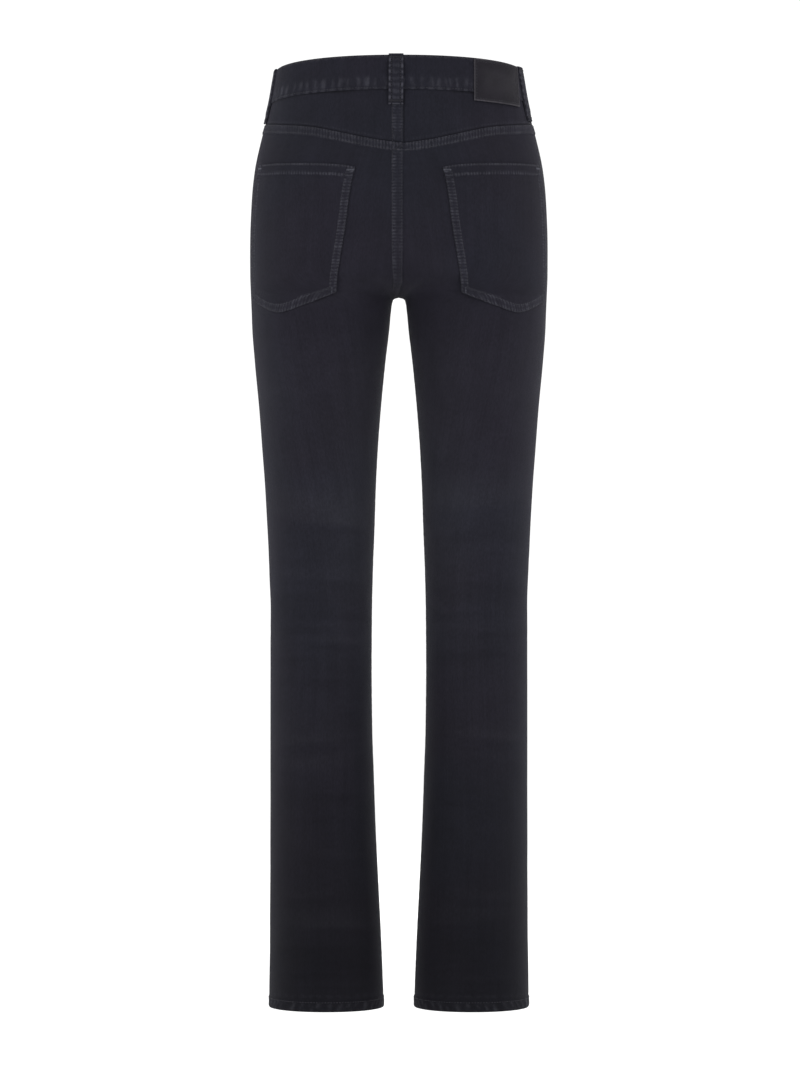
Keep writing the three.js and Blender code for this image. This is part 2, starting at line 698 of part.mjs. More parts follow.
// The shank button at the front of the waistband
function button() {
  const z = bandTop(1) - BUTTON.below;
  const total = ringAt(z).total;
  const at = beside(z, total - BUTTON.x, 1, BAND_PROUD);
  const above = beside(z + 4, ringAt(z + 4).total - BUTTON.x, 1, BAND_PROUD);
  const beyond = beside(z, total - BUTTON.x - 4, 1, BAND_PROUD);
  let normal = unit(cross(sub(above, at), sub(beyond, at)));
  if (normal[1] > 0) normal = normal.map((v) => -v);
  const r = BUTTON.radius;
  const profile = [
    [0, 0.45], [3.2, 0.45], [3.4, 1.5], [r - 0.9, 1.6], [r, 2.2], [r, 2.9],
    [r - 0.7, 3.5], [r - 1.8, 3.6], [r - 2.6, 3.1], [2.4, 3.1], [1.2, 3.5], [0, 3.6],
  ].map(([x, y]) => new THREE.Vector2(x, y));
  const lathe = new THREE.LatheGeometry(profile, 28);
  const turn = new THREE.Quaternion().setFromUnitVectors(
    new THREE.Vector3(0, 1, 0),
    new THREE.Vector3(...normal),
  );
  lathe.applyQuaternion(turn);
  lathe.translate(...at);
  const metal = new THREE.MeshStandardMaterial({ color: METAL, roughness: 0.45, metalness: 0.9 });
  const mesh = new THREE.Mesh(lathe, metal);
  mesh.name = 'button';
  return mesh;
}

const jeans = new THREE.Group();
jeans.name = 'straight_leg_jeans';
jeans.add(waistband());
for (const [word, side] of [['left', 1], ['right', -1]]) {
  jeans.add(yoke(`yoke_${word}`, side));
  jeans.add(backPanel(`back_${word}`, side));
  jeans.add(frontPanel(`front_${word}`, side));
  jeans.add(pocketFacing(`pocket_facing_${word}`, side));
  jeans.add(backPocket(`back_pocket_${word}`, side));
}
jeans.add(patch());
LOOPS.forEach((loop) => jeans.add(beltLoop(loop)));
jeans.add(button());

export default jeans;
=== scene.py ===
# %% [markdown]
# Straight leg jeans, seen from the back and filled out as if worn.
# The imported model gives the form. This lesson dresses it in cloth with seams, folds, thread,
# a leather patch and a metal button, and lights it softly. Sizes are millimetres until a mesh
# is made, because a maker cuts denim in millimetres, and metres after that.

# %% Load the fixed frame
import math
import bpy
import numpy as np
from mathutils import Matrix, Vector


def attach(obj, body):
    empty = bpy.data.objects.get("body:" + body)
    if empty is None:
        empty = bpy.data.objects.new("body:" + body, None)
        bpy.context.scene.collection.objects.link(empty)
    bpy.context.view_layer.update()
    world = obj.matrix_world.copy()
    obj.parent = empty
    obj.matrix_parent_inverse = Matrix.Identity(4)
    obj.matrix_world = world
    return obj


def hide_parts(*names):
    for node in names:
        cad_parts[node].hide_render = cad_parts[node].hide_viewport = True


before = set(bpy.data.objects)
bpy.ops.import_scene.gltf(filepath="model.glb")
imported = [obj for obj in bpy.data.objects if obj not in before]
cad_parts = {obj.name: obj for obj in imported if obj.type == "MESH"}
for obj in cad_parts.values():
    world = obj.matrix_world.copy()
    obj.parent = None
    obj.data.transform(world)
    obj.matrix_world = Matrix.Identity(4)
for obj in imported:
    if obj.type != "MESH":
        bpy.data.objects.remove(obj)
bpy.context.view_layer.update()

MM = 0.001

# %% [markdown]
# The camera stands five metres behind the jeans, at half their height, as in the picture.
# From so far away the waist and the hems curve only a little. A longer lens could copy that
# from further back, but the distance is kept real so that the sides turn away from view as
# much as they should. The lens follows from how many metres tall the frame is at the jeans.

# %% Camera
CAMERA_DISTANCE = 5.0
CAMERA_ASIDE, CAMERA_HEIGHT = -0.00121, -0.4876
FRAME_HEIGHT = 1.1737
SENSOR_HEIGHT = 24
camera_data = bpy.data.cameras.new("studio_camera")
camera_data.sensor_fit = "VERTICAL"
camera_data.sensor_height = SENSOR_HEIGHT
camera_data.lens = SENSOR_HEIGHT * CAMERA_DISTANCE / FRAME_HEIGHT
camera = bpy.data.objects.new("studio_camera", camera_data)
camera.location = (CAMERA_ASIDE, CAMERA_DISTANCE, CAMERA_HEIGHT)
camera.rotation_euler = (math.pi / 2, 0, math.pi)
bpy.context.scene.collection.objects.link(camera)
bpy.context.scene.camera = camera
print("lens", round(camera_data.lens, 2))

# %% [markdown]
# Every piece of cloth follows one body: a row of soft rings, one for each height. A row of
# the table gives a height and then half a ring, the wearer's left half: how far out and in it
# reaches, and how deep it is to the back and front. A sculpted mesh could be measured
# instead, but a table of widths read off a picture is quicker to correct.

# %% Body table
BODY = np.array([
    [34, 132.8, -132.8, 87, 85], [19, 135, -135, 90, 88], [-9, 139.6, -139.6, 96, 92],
    [-34, 145.4, -145.4, 103, 95], [-57, 151.6, -151.6, 109.5, 97.5],
    [-89, 158.4, -158.4, 117.5, 99.5], [-115, 161.3, -161.3, 122.5, 100.5],
    [-145, 162.9, -160, 125.5, 100.8], [-160, 163.4, -146, 126, 100.6],
    [-180, 163.6, -106, 124.8, 100], [-200, 163.5, -58, 121.6, 98.6],
    [-210, 163.4, -34, 119.2, 97.6], [-218, 163, -15.5, 116.8, 96.8],
    [-224, 162.7, -3.2, 114.8, 96.1], [-228, 162.5, 3.2, 113.4, 95.7],
    [-231, 162.3, 6.4, 112.3, 95.3], [-242, 161.9, 8.4, 109, 94.2],
    [-264, 161.2, 10.5, 104.5, 92.6], [-300, 158.4, 14.8, 99.3, 91],
    [-352, 153.5, 19.8, 91, 89], [-396, 150.2, 23.1, 83.8, 86.3],
    [-440, 146.9, 25.3, 77.5, 83], [-484, 144.6, 26.7, 72, 79.5],
    [-528, 142.5, 28.4, 68.5, 76], [-572, 141.5, 29.4, 66.5, 72.5],
    [-638, 141.3, 29.8, 67.5, 68.5], [-704, 141.3, 29.1, 70.5, 64.5],
    [-748, 141.3, 27.6, 72, 62.8], [-814, 141.4, 25.3, 72.5, 62],
    [-880, 141.6, 22, 71.8, 63], [-946, 142.2, 18.8, 70.8, 64.6],
    [-1010, 142.8, 16.4, 70, 66.2],
])
print("body rows", len(BODY))

# %% [markdown]
# A smooth curve joins the rows of a table. It never overshoots them, so no ridge appears
# between two heights, and a straight run in the table stays straight.

# %% Smooth curves
def curve(xs, ys):
    """A smooth curve through the points that never overshoots them."""
    order = np.argsort(xs)
    x = np.asarray(xs, float)[order]
    y = np.asarray(ys, float)[order]
    h = np.diff(x)
    d = np.diff(y) / h
    m = np.zeros(len(x))
    for i in range(1, len(x) - 1):
        if d[i - 1] * d[i] > 0:
            w1 = 2 * h[i] + h[i - 1]
            w2 = h[i] + 2 * h[i - 1]
            m[i] = (w1 + w2) / (w1 / d[i - 1] + w2 / d[i])
    for end, a, b in ((0, 0, 1), (-1, -1, -2)):
        slope = ((2 * h[a] + h[b]) * d[a] - h[a] * d[b]) / (h[a] + h[b])
        if slope * d[a] <= 0:
            slope = 0
        elif d[a] * d[b] <= 0 and abs(slope) > 3 * abs(d[a]):
            slope = 3 * d[a]
        m[end] = slope

    def at(value):
        v = np.clip(value, x[0], x[-1])
        i = np.clip(np.searchsorted(x, v, side="right") - 1, 0, len(h) - 1)
        t = (v - x[i]) / h[i]
        return ((2 * t**3 - 3 * t**2 + 1) * y[i] + (t**3 - 2 * t**2 + t) * h[i] * m[i]
                + (3 * t**2 - 2 * t**3) * y[i + 1] + (t**3 - t**2) * h[i] * m[i + 1])
    return at


def smooth(t):
    c = np.clip(t, 0, 1)
    return c * c * (3 - 2 * c)


def mix(a, b, t):
    return a + (b - a) * t


out_at, inner_at, back_at, front_at = (curve(BODY[:, 0], BODY[:, k]) for k in (1, 2, 3, 4))
print("hip half width", round(float(out_at(-180)), 1))

# %% [markdown]
# A ring is a rounded oval. Above the crotch the two sides meet in the middle, so the oval is
# cut close to it, at MIDDLE, and bends softly into the seat seam. The side seam lies a little
# further to the front than the widest place, as it does on most jeans.

# %% Shape of one ring
MIDDLE = 5.5
SIDE_SHIFT = 6
STATIONS = 1201


def half_oval(z, depth, sign):
    """The back or front half of a ring, and the soft bend that leads to the middle, if it has one."""
    out, inner = float(out_at(z)), float(inner_at(z))
    n = 2.1 + 0.12 * min(1, max(0, (z + 330) / 180))
    centre, a = (out + inner) / 2, (out - inner) / 2
    phi = np.linspace(-math.pi / 2, math.pi / 2, 420)
    sine = np.sin(phi)
    x = centre + a * np.sign(sine) * np.abs(sine) ** (2 / n)
    y = sign * depth * np.abs(np.cos(phi)) ** (2 / n)
    if inner >= MIDDLE:
        return x, y, None
    u = abs(MIDDLE - centre) / a
    rest = 1 - u**n
    slope = depth * rest ** (1 / n - 1) * u ** (n - 1) / a * (1 if centre > MIDDLE else -1)
    keep = x > MIDDLE
    return x[keep], y[keep], (depth * rest ** (1 / n) - slope * MIDDLE / 2, slope / (2 * MIDDLE))


def ring_of(z):
    """Even points round half a ring, its length, its side seam, its middle and whether it is open."""
    xb, yb, back = half_oval(z, float(back_at(z)), 1)
    xf, yf, front = half_oval(z, float(front_at(z)), -1)
    is_open = False
    if back:
        rise = back[0] + front[0]
        is_open = rise > 0
        start = 0 if is_open else math.sqrt(-rise / (back[1] + front[1]))
        soft = start + (MIDDLE - start) * np.arange(24) / 24
        xb, yb = np.r_[soft, xb], np.r_[back[0] + back[1] * soft**2, yb]
        xf, yf = np.r_[soft, xf], np.r_[-front[0] - front[1] * soft**2, yf]
    x, y = np.r_[xb, xf[::-1][1:]], np.r_[yb, yf[::-1][1:]]
    along = np.r_[0, np.cumsum(np.hypot(np.diff(x), np.diff(y)))]
    even = np.linspace(0, along[-1], STATIONS)
    side = along[len(xb) - 1] + SIDE_SHIFT
    meet = (y[0] + y[-1]) / 2
    return np.interp(even, along, x), np.interp(even, along, y), along[-1], side, meet, is_open


print("half round the hip", round(float(ring_of(-180)[2]), 1))

# %% [markdown]
# The rings are measured once, at close heights, into tables, because many thousand points of
# cloth are looked up in them later. The crotch is the height where the legs just part. It is
# found by halving a span of heights until the two ends agree.

# %% Ring tables
HEIGHTS = np.r_[np.arange(-1012, -250, 1.0), np.arange(-250, -190, 0.25), np.arange(-190, 37, 1.0)]
rings = [ring_of(z) for z in HEIGHTS]
RING_X = np.array([r[0] for r in rings])
RING_Y = np.array([r[1] for r in rings])
TOTAL = np.array([r[2] for r in rings])
SIDE = np.array([r[3] for r in rings])
MEET = np.array([r[4] for r in rings])


def crotch_height():
    high, low = -200.0, -235.0
    for _ in range(40):
        half = (high + low) / 2
        high, low = (half, low) if ring_of(half)[5] else (high, half)
    return high


CROTCH = crotch_height()
print("crotch at", round(CROTCH, 1))

# %% [markdown]
# A point of cloth is named by its height and its distance round from the centre back, as a
# maker marks cloth with a tape. The tables give its place, blended between their rows.

# %% Finding a point on the body
def total_at(z):
    return np.interp(z, HEIGHTS, TOTAL)


def side_at(z):
    return np.interp(z, HEIGHTS, SIDE)


def on_ring(z, s):
    """The point at distance s round from the centre back, on the ring at height z."""
    row = np.interp(z, HEIGHTS, np.arange(len(HEIGHTS)))
    i = np.clip(row.astype(int), 0, len(HEIGHTS) - 2)
    t = row - i
    f = np.clip(np.abs(s) / mix(TOTAL[i], TOTAL[i + 1], t), 0, 1) * (STATIONS - 1)
    j = np.clip(f.astype(int), 0, STATIONS - 2)
    u = f - j

    def look(table):
        return mix(mix(table[i, j], table[i, j + 1], u), mix(table[i + 1, j], table[i + 1, j + 1], u), t)
    x = look(RING_X)
    return np.where(s < 0, -x, x), look(RING_Y)


print("half round the hem", round(float(total_at(-1000)), 1))

# %% [markdown]
# Worn denim keeps soft troughs where the body bends: under the seat, behind the knee and above
# the hem. Each is listed as height, share of the way round, reach round, reach up and
# down, how far it slants, and depth. The first table holds the large ones, which the solid
# has too. The second holds the fine ones that only the cloth shows, uneven on purpose.

# %% Fold tables
FOLDS = [
    (-268, 0.27, 0.16, 20, -70, 0.8), (-205, 0.76, 0.12, 20, 90, 1.4),
    (-300, 0.80, 0.12, 26, 60, 1.2), (-505, 0.24, 0.17, 24, 30, 1.3),
    (-566, 0.27, 0.19, 26, -24, 1.7), (-634, 0.22, 0.15, 24, 18, 1.1),
    (-590, 0.77, 0.14, 28, 20, 1.2), (-776, 0.30, 0.13, 24, -30, 1.0),
    (-950, 0.26, 0.18, 22, 16, 1.2), (-938, 0.76, 0.16, 24, -20, 1.5),
]
CREASES = [
    (-266, 0.13, 0.075, 9, -90, 0.3), (-284, 0.16, 0.09, 8, -110, 0.28),
    (-304, 0.12, 0.06, 10, -120, 0.24), (-326, 0.15, 0.08, 9, -90, 0.2),
    (-352, 0.33, 0.08, 9, 40, 0.3), (-418, 0.12, 0.07, 10, 60, 0.3),
    (-486, 0.18, 0.11, 6, 26, 0.45), (-520, 0.33, 0.10, 6, -30, 0.4),
    (-543, 0.20, 0.12, 5.5, 20, 0.55), (-557, 0.31, 0.09, 5, -24, 0.45),
    (-578, 0.17, 0.10, 5.5, 14, 0.55), (-593, 0.29, 0.13, 5, -16, 0.6),
    (-611, 0.21, 0.10, 5, 20, 0.5), (-626, 0.33, 0.08, 5, -30, 0.4),
    (-651, 0.24, 0.12, 6, 12, 0.35), (-683, 0.16, 0.08, 6, 30, 0.3),
    (-722, 0.30, 0.10, 7, -30, 0.3), (-774, 0.21, 0.06, 4, 10, 0.55),
    (-801, 0.29, 0.09, 6, -16, 0.3), (-846, 0.20, 0.10, 6, 24, 0.3),
    (-889, 0.31, 0.10, 6, -22, 0.35), (-921, 0.19, 0.10, 5, 16, 0.4),
    (-941, 0.31, 0.09, 4.5, -18, 0.45), (-957, 0.17, 0.09, 4.5, 20, 0.45),
    (-969, 0.27, 0.12, 4.5, -12, 0.5), (-981, 0.22, 0.10, 4, 8, 0.4),
    (-221, 0.86, 0.10, 9, 110, 0.6), (-240, 0.90, 0.08, 9, 130, 0.5),
    (-262, 0.86, 0.08, 9, 120, 0.4), (-216, 0.68, 0.07, 9, -40, 0.3),
    (-548, 0.78, 0.12, 7, 20, 0.4), (-574, 0.70, 0.10, 6, -26, 0.45),
    (-604, 0.82, 0.10, 6, 18, 0.4), (-640, 0.74, 0.12, 7, -20, 0.3),
    (-905, 0.78, 0.10, 6, 22, 0.4), (-925, 0.68, 0.10, 5, -18, 0.45),
    (-948, 0.80, 0.11, 5, 14, 0.5), (-966, 0.72, 0.10, 4.5, -16, 0.4),
]
print("fold table", len(FOLDS), "large and", len(CREASES), "fine")

# %% [markdown]
# Each trough is a soft dent with a low ridge above it, pressed straight into its ring. It
# fades out at the middle of the body and at the inseams, where seams hold the cloth flat. The
# right leg has the same troughs a little shifted and changed, so the legs aren't mirrored.

# %% Cloth with its folds
KNEE_AREA = -480


def fold_depth(z, share, side):
    """How deep the troughs are at a height and a share of the way round."""
    depth = np.zeros_like(z)
    for table in (FOLDS, CREASES):
        large = table is FOLDS
        for height, at, across, tall, slant, deep in table:
            shift, size = 0, deep
            if side < 0:
                shift = 14 if large else 8 * math.sin(height)
                size = deep * (0.85 if large else 0.8 + 0.3 * math.cos(height))
            if height < KNEE_AREA and not large:
                size, tall = size * 2.2, tall * 0.85
            a = (share - at) / across
            b = (z - height - shift - slant * (share - at)) / tall
            depth = depth + size * np.exp(-a * a) * (np.exp(-b * b) - 0.35 * np.exp(-((b - 1.7) ** 2)))
    return depth


def cloth(z, s, side):
    """A point of the folded cloth. side is 1 for the wearer's left and -1 for the right."""
    z, s = np.broadcast_arrays(np.asarray(z, float), np.asarray(s, float))
    total = total_at(z)
    x, y = on_ring(z, s)
    is_open = z > CROTCH
    low = np.where(is_open, -total, 0)
    x1, y1 = on_ring(z, np.minimum(s + 0.5, total))
    x0, y0 = on_ring(z, np.maximum(s - 0.5, low))
    length = np.hypot(x1 - x0, y1 - y0) + 1e-9
    reach = np.where(is_open, 30, 12)
    edge = smooth(np.abs(s) / reach) * smooth((total - s) / reach)
    push = fold_depth(z, s / total, side) * edge
    return np.stack([side * (x + push * (y1 - y0) / length), y - push * (x1 - x0) / length, z], -1)


def unit(v):
    return v / (np.linalg.norm(v, axis=-1, keepdims=True) + 1e-12)


def facing(grid, outward):
    """Normals of a grid of points, turned to agree with a rough outward direction."""
    down = np.gradient(grid, axis=0)
    across = np.gradient(grid, axis=1)
    n = unit(np.cross(down, across))
    mid = n[grid.shape[0] // 2, grid.shape[1] // 2]
    return n * (1 if np.dot(mid, outward) > 0 else -1)


print("fold behind the knee", np.round(fold_depth(np.array([-566.0]), np.array([0.27]), 1), 2))

# %% [markdown]
# A material is a small graph of nodes. It could be wired up by hand in the shader editor. A
# short helper that adds a node, sets it and links it in one line keeps each recipe readable.

# %% Material helpers
def nodes_of(name):
    """An empty material with a shader, and the two tools that add and link its nodes."""
    material = bpy.data.materials.new(name)
    material.use_nodes = True
    tree = material.node_tree
    tree.nodes.clear()
    output = tree.nodes.new("ShaderNodeOutputMaterial")
    shader = tree.nodes.new("ShaderNodeBsdfPrincipled")
    tree.links.new(shader.outputs[0], output.inputs[0])

    def add(kind, inputs=None, **settings):
        node = tree.nodes.new("ShaderNode" + kind)
        for key, value in settings.items():
            setattr(node, key, value)
        for key, value in (inputs or {}).items():
            socket = node.inputs[key]
            if isinstance(value, bpy.types.NodeSocket):
                tree.links.new(value, socket)
            else:
                socket.default_value = value
        return node
    return material, shader, add, tree.links.new


def ranged(add, value, low, high, out_low, out_high):
    """Stretches the usual span of a pattern to the span that is wanted."""
    return add("MapRange", {0: value, 1: low, 2: high, 3: out_low, 4: out_high}).outputs[0]


def blended(add, share, first, second):
    """Goes from the first colour to the second."""
    return add("Mix", {0: share, 6: first, 7: second}, data_type="RGBA").outputs[2]


def toned(add, colour, tone):
    """Makes a colour darker or lighter by a pattern."""
    shade = add("CombineXYZ", {0: tone, 1: tone, 2: tone}).outputs[0]
    return add("Mix", {0: 1.0, 6: colour, 7: shade}, data_type="RGBA", blend_type="MULTIPLY").outputs[2]


print("helpers for nodes:", nodes_of.__name__, ranged.__name__, blended.__name__, toned.__name__)

# %% [markdown]
# Denim has a twill of fine slanted ribs, upright streaks from uneven yarn, and a mottle from
# washing. Folded edges are rubbed paler, most of all on the small puckers between two rows
# of stitches. A photograph of cloth could be laid on it, but noise never repeats and needs no
# file. The colour reads the piece's own map, laid out in real metres, and three attributes:
# how worn a place is, with painted shade as negative values; how faded or turned inside it
# is, where the fade is partly painted light; and how far it lies along its seam. That keeps
# every pattern on the cloth at its true size when the piece curves. Towards the hems the
# colour is darkened as painted shade.

# %% Denim
def make_denim(name, face, tone_marks, back, sheen):
    material, shader, add, link = nodes_of(name)
    uv = add("UVMap", uv_map="UVMap").outputs[0]
    wear_and_painted_shade = add("Attribute", attribute_name="wear_and_painted_shade").outputs["Fac"]
    run = add("Attribute", attribute_name="run").outputs["Vector"]
    inside = add("Attribute", attribute_name="inside").outputs["Fac"]
    place = add("TexCoord").outputs["Object"]

    def maths(operation, a, b=0.0, c=0.0):
        return add("Math", {0: a, 1: b, 2: c}, operation=operation).outputs[0]

    def noise(vector, scale, detail, rough, shape=(1, 1, 1)):
        mapped = add("Mapping", {"Vector": vector, "Scale": shape}).outputs[0]
        return add("TexNoise", {"Vector": mapped, "Scale": scale, "Detail": detail,
                                "Roughness": rough}).outputs[0]

    def ramp(value, low, high, out_low=0.0, out_high=1.0):
        return add("MapRange", {0: value, 1: low, 2: high, 3: out_low, 4: out_high},
                   interpolation_type="SMOOTHSTEP").outputs[0]

    turned = add("Mapping", {"Vector": uv, "Rotation": (0, 0, math.radians(-28))}).outputs[0]
    twill = add("TexWave", {"Vector": turned, "Scale": 330.0, "Distortion": 1.4, "Detail": 2.0,
                            "Detail Scale": 1.2}, wave_type="BANDS", bands_direction="X").outputs[1]
    yarn = noise(uv, 620, 2, 0.6, (1, 0.35, 1))
    streak = noise(uv, 300, 3, 0.6, (1, 0.028, 1))
    broad_streak = noise(uv, 90, 3, 0.6, (1, 0.05, 1))
    mottle = noise(place, 9, 4, 0.6)
    cloud = noise(place, 38, 3, 0.6)
    clumps = noise(run, 170, 3, 0.65, (1, 0.8, 1))
    specks = noise(run, 520, 1, 0.5, (1, 0.7, 1))
    ticks = add("TexWave", {"Vector": run, "Scale": 90.0, "Distortion": 2.6, "Detail": 2.0,
                            "Detail Scale": 2.2}, wave_type="BANDS", bands_direction="X").outputs[1]
    puckers = maths("MULTIPLY_ADD", clumps, 0.75, maths("MULTIPLY", specks, 0.25))
    puckers = maths("MULTIPLY_ADD", ticks, 0.30, puckers)

    rubbed = ramp(puckers, 0.50, 0.86)
    gain = maths("MAXIMUM", wear_and_painted_shade, 0.0)
    worn_share = maths("MULTIPLY", gain, maths("MULTIPLY_ADD", rubbed, 0.92, 0.08))
    # Negative values of the attribute are painted shade and darken the colour below; positive values are
    # wear.
    shadow = maths("MAXIMUM", maths("MULTIPLY", wear_and_painted_shade, -1.0), 0.0)
    light = maths("MULTIPLY_ADD", twill, 0.30, 0.70)
    for pattern, low, high, change in ((yarn, 0.25, 0.75, 0.14), (streak, 0.25, 0.75, 0.07),
                                       (broad_streak, 0.25, 0.75, 0.04), (mottle, 0.25, 0.75, 0.08),
                                       (cloud, 0.3, 0.7, 0.06)):
        light = maths("MULTIPLY", light, ramp(pattern, low, high, 1 - change, 1 + change))
    light = maths("MULTIPLY", light, maths("MULTIPLY_ADD", shadow, -0.7, 1.0))
    # Painted shade: the colour grows darker towards the hems.
    height = add("SeparateXYZ", {0: place}).outputs[2]
    light = maths("MULTIPLY", light, ramp(height, -1.0, -0.50, 0.43, 1.0))

    dye = noise(place, 6, 2, 0.5)
    warm = (face[0] * 1.05, face[1] * 0.97, face[2] * 1.01, 1)
    cold = (face[0] * 0.98, face[1] * 1.0, face[2] * 1.03, 1)
    dyed = blended(add, ramp(dye, 0.35, 0.65), cold, warm)
    # The fade read here is partly painted light on the back panels.
    sides = blended(add, inside, dyed, (*back, 1))
    rubbed_colour = blended(add, worn_share, sides, (*tone_marks, 1))
    link(toned(add, rubbed_colour, light), shader.inputs["Base Color"])
    rough = ramp(mottle, 0.2, 0.8, 0.80, 0.92)
    link(rough, shader.inputs["Roughness"])
    weave_bump = add("Bump", {"Strength": 0.5, "Distance": 0.00022, "Height": twill}).outputs[0]
    yarn_bump = add("Bump", {"Strength": 0.35, "Distance": 0.00025, "Height": maths("ADD", yarn, streak),
                             "Normal": weave_bump}).outputs[0]
    ripple = maths("MULTIPLY", puckers, gain)
    seam_bump = add("Bump", {"Strength": 0.9, "Distance": 0.001, "Height": ripple,
                             "Normal": yarn_bump}).outputs[0]
    link(seam_bump, shader.inputs["Normal"])
    shader.inputs["Specular IOR Level"].default_value = 0.08
    shader.inputs["Sheen Weight"].default_value = sheen
    shader.inputs["Sheen Roughness"].default_value = 0.45
    shader.inputs["Sheen Tint"].default_value = (0.8, 0.8, 1.0, 1)
    return material


DENIM = make_denim("black_denim", face=(0.0112, 0.0112, 0.0164), tone_marks=(0.046, 0.046, 0.058),
                   back=(0.045, 0.045, 0.054), sheen=0.03)
print("denim nodes", len(DENIM.node_tree.nodes))

# %% [markdown]
# The thread is dyed like the cloth and twisted, so it catches small lights. The leather has a
# fine grain with paler, rubbed edges. The button is dull steel with a cloudy finish. Each is a
# short recipe of noise for the colour and the same noise as bump, so that both agree.

# %% Thread, leather and metal
def make_thread(name, colour):
    material, shader, add, link = nodes_of(name)
    place = add("TexCoord").outputs["Object"]
    twist = add("TexNoise", {"Vector": place, "Scale": 900.0, "Detail": 2.0}).outputs[0]
    tone = ranged(add, twist, 0.3, 0.7, 0.75, 1.25)
    link(toned(add, (*colour, 1), tone), shader.inputs["Base Color"])
    bump = add("Bump", {"Strength": 0.4, "Distance": 0.0001, "Height": twist}).outputs[0]
    link(bump, shader.inputs["Normal"])
    shader.inputs["Roughness"].default_value = 0.6
    shader.inputs["Specular IOR Level"].default_value = 0.25
    return material


def make_leather(name, colour, pale):
    material, shader, add, link = nodes_of(name)
    uv = add("UVMap", uv_map="UVMap").outputs[0]
    wear_and_painted_shade = add("Attribute", attribute_name="wear_and_painted_shade").outputs["Fac"]
    grain = add("TexVoronoi", {"Vector": uv, "Scale": 900.0, "Randomness": 1.0},
                feature="DISTANCE_TO_EDGE").outputs[0]
    pores = add("TexNoise", {"Vector": uv, "Scale": 420.0, "Detail": 4.0, "Roughness": 0.65}).outputs[0]
    cloud = add("TexNoise", {"Vector": uv, "Scale": 60.0, "Detail": 4.0, "Roughness": 0.6}).outputs[0]
    tone = ranged(add, cloud, 0.3, 0.7, 0.85, 1.18)
    rubbed = ranged(add, pores, 0.35, 0.6, 0.35, 1.0)
    edge = add("Math", {0: wear_and_painted_shade, 1: rubbed}, operation="MULTIPLY").outputs[0]
    body = blended(add, edge, (*colour, 1), (*pale, 1))
    link(toned(add, body, tone), shader.inputs["Base Color"])
    link(ranged(add, pores, 0.3, 0.7, 0.52, 0.74), shader.inputs["Roughness"])
    first = add("Bump", {"Strength": 0.35, "Distance": 0.0002, "Height": grain}).outputs[0]
    second = add("Bump", {"Strength": 0.35, "Distance": 0.0004, "Height": pores, "Normal": first}).outputs[0]
    link(second, shader.inputs["Normal"])
    shader.inputs["Specular IOR Level"].default_value = 0.11
    return material


def make_metal(name, colour):
    material, shader, add, link = nodes_of(name)
    place = add("TexCoord").outputs["Object"]
    cloud = add("TexNoise", {"Vector": place, "Scale": 700.0, "Detail": 5.0, "Roughness": 0.7}).outputs[0]
    tone = ranged(add, cloud, 0.3, 0.7, 0.7, 1.15)
    link(toned(add, (*colour, 1), tone), shader.inputs["Base Color"])
    link(ranged(add, cloud, 0.3, 0.7, 0.28, 0.5), shader.inputs["Roughness"])
    bump = add("Bump", {"Strength": 0.2, "Distance": 0.0001, "Height": cloud}).outputs[0]
    link(bump, shader.inputs["Normal"])
    shader.inputs["Metallic"].default_value = 1.0
    return material


THREAD = make_thread("dark_thread", (0.0165, 0.0160, 0.0215))
RUBBED_THREAD = make_thread("rubbed_thread", (0.070, 0.072, 0.090))
LEATHER = make_leather("black_leather", (0.0080, 0.0069, 0.0101), (0.052, 0.049, 0.056))
METAL = make_metal("brushed_steel", (0.13, 0.13, 0.145))
print("materials", [m.name for m in (DENIM, THREAD, RUBBED_THREAD, LEATHER, METAL)])

# %% [markdown]
# A piece of cloth is two grids of points, the face and the wrong side, joined round the edge
# into one thin closed shell. It could also be a single sheet with a Solidify modifier, but
# a turned hem is thicker than the cloth, so both sides are placed point by point here.

# %% Shell builder
def paint_points(mesh, name, kind, field, values):
    """Gives every point a value or a direction that the materials read by name."""
    attribute = mesh.attributes.new(name, kind, "POINT")
    attribute.data.foreach_set(field, values.astype(np.float32).ravel())


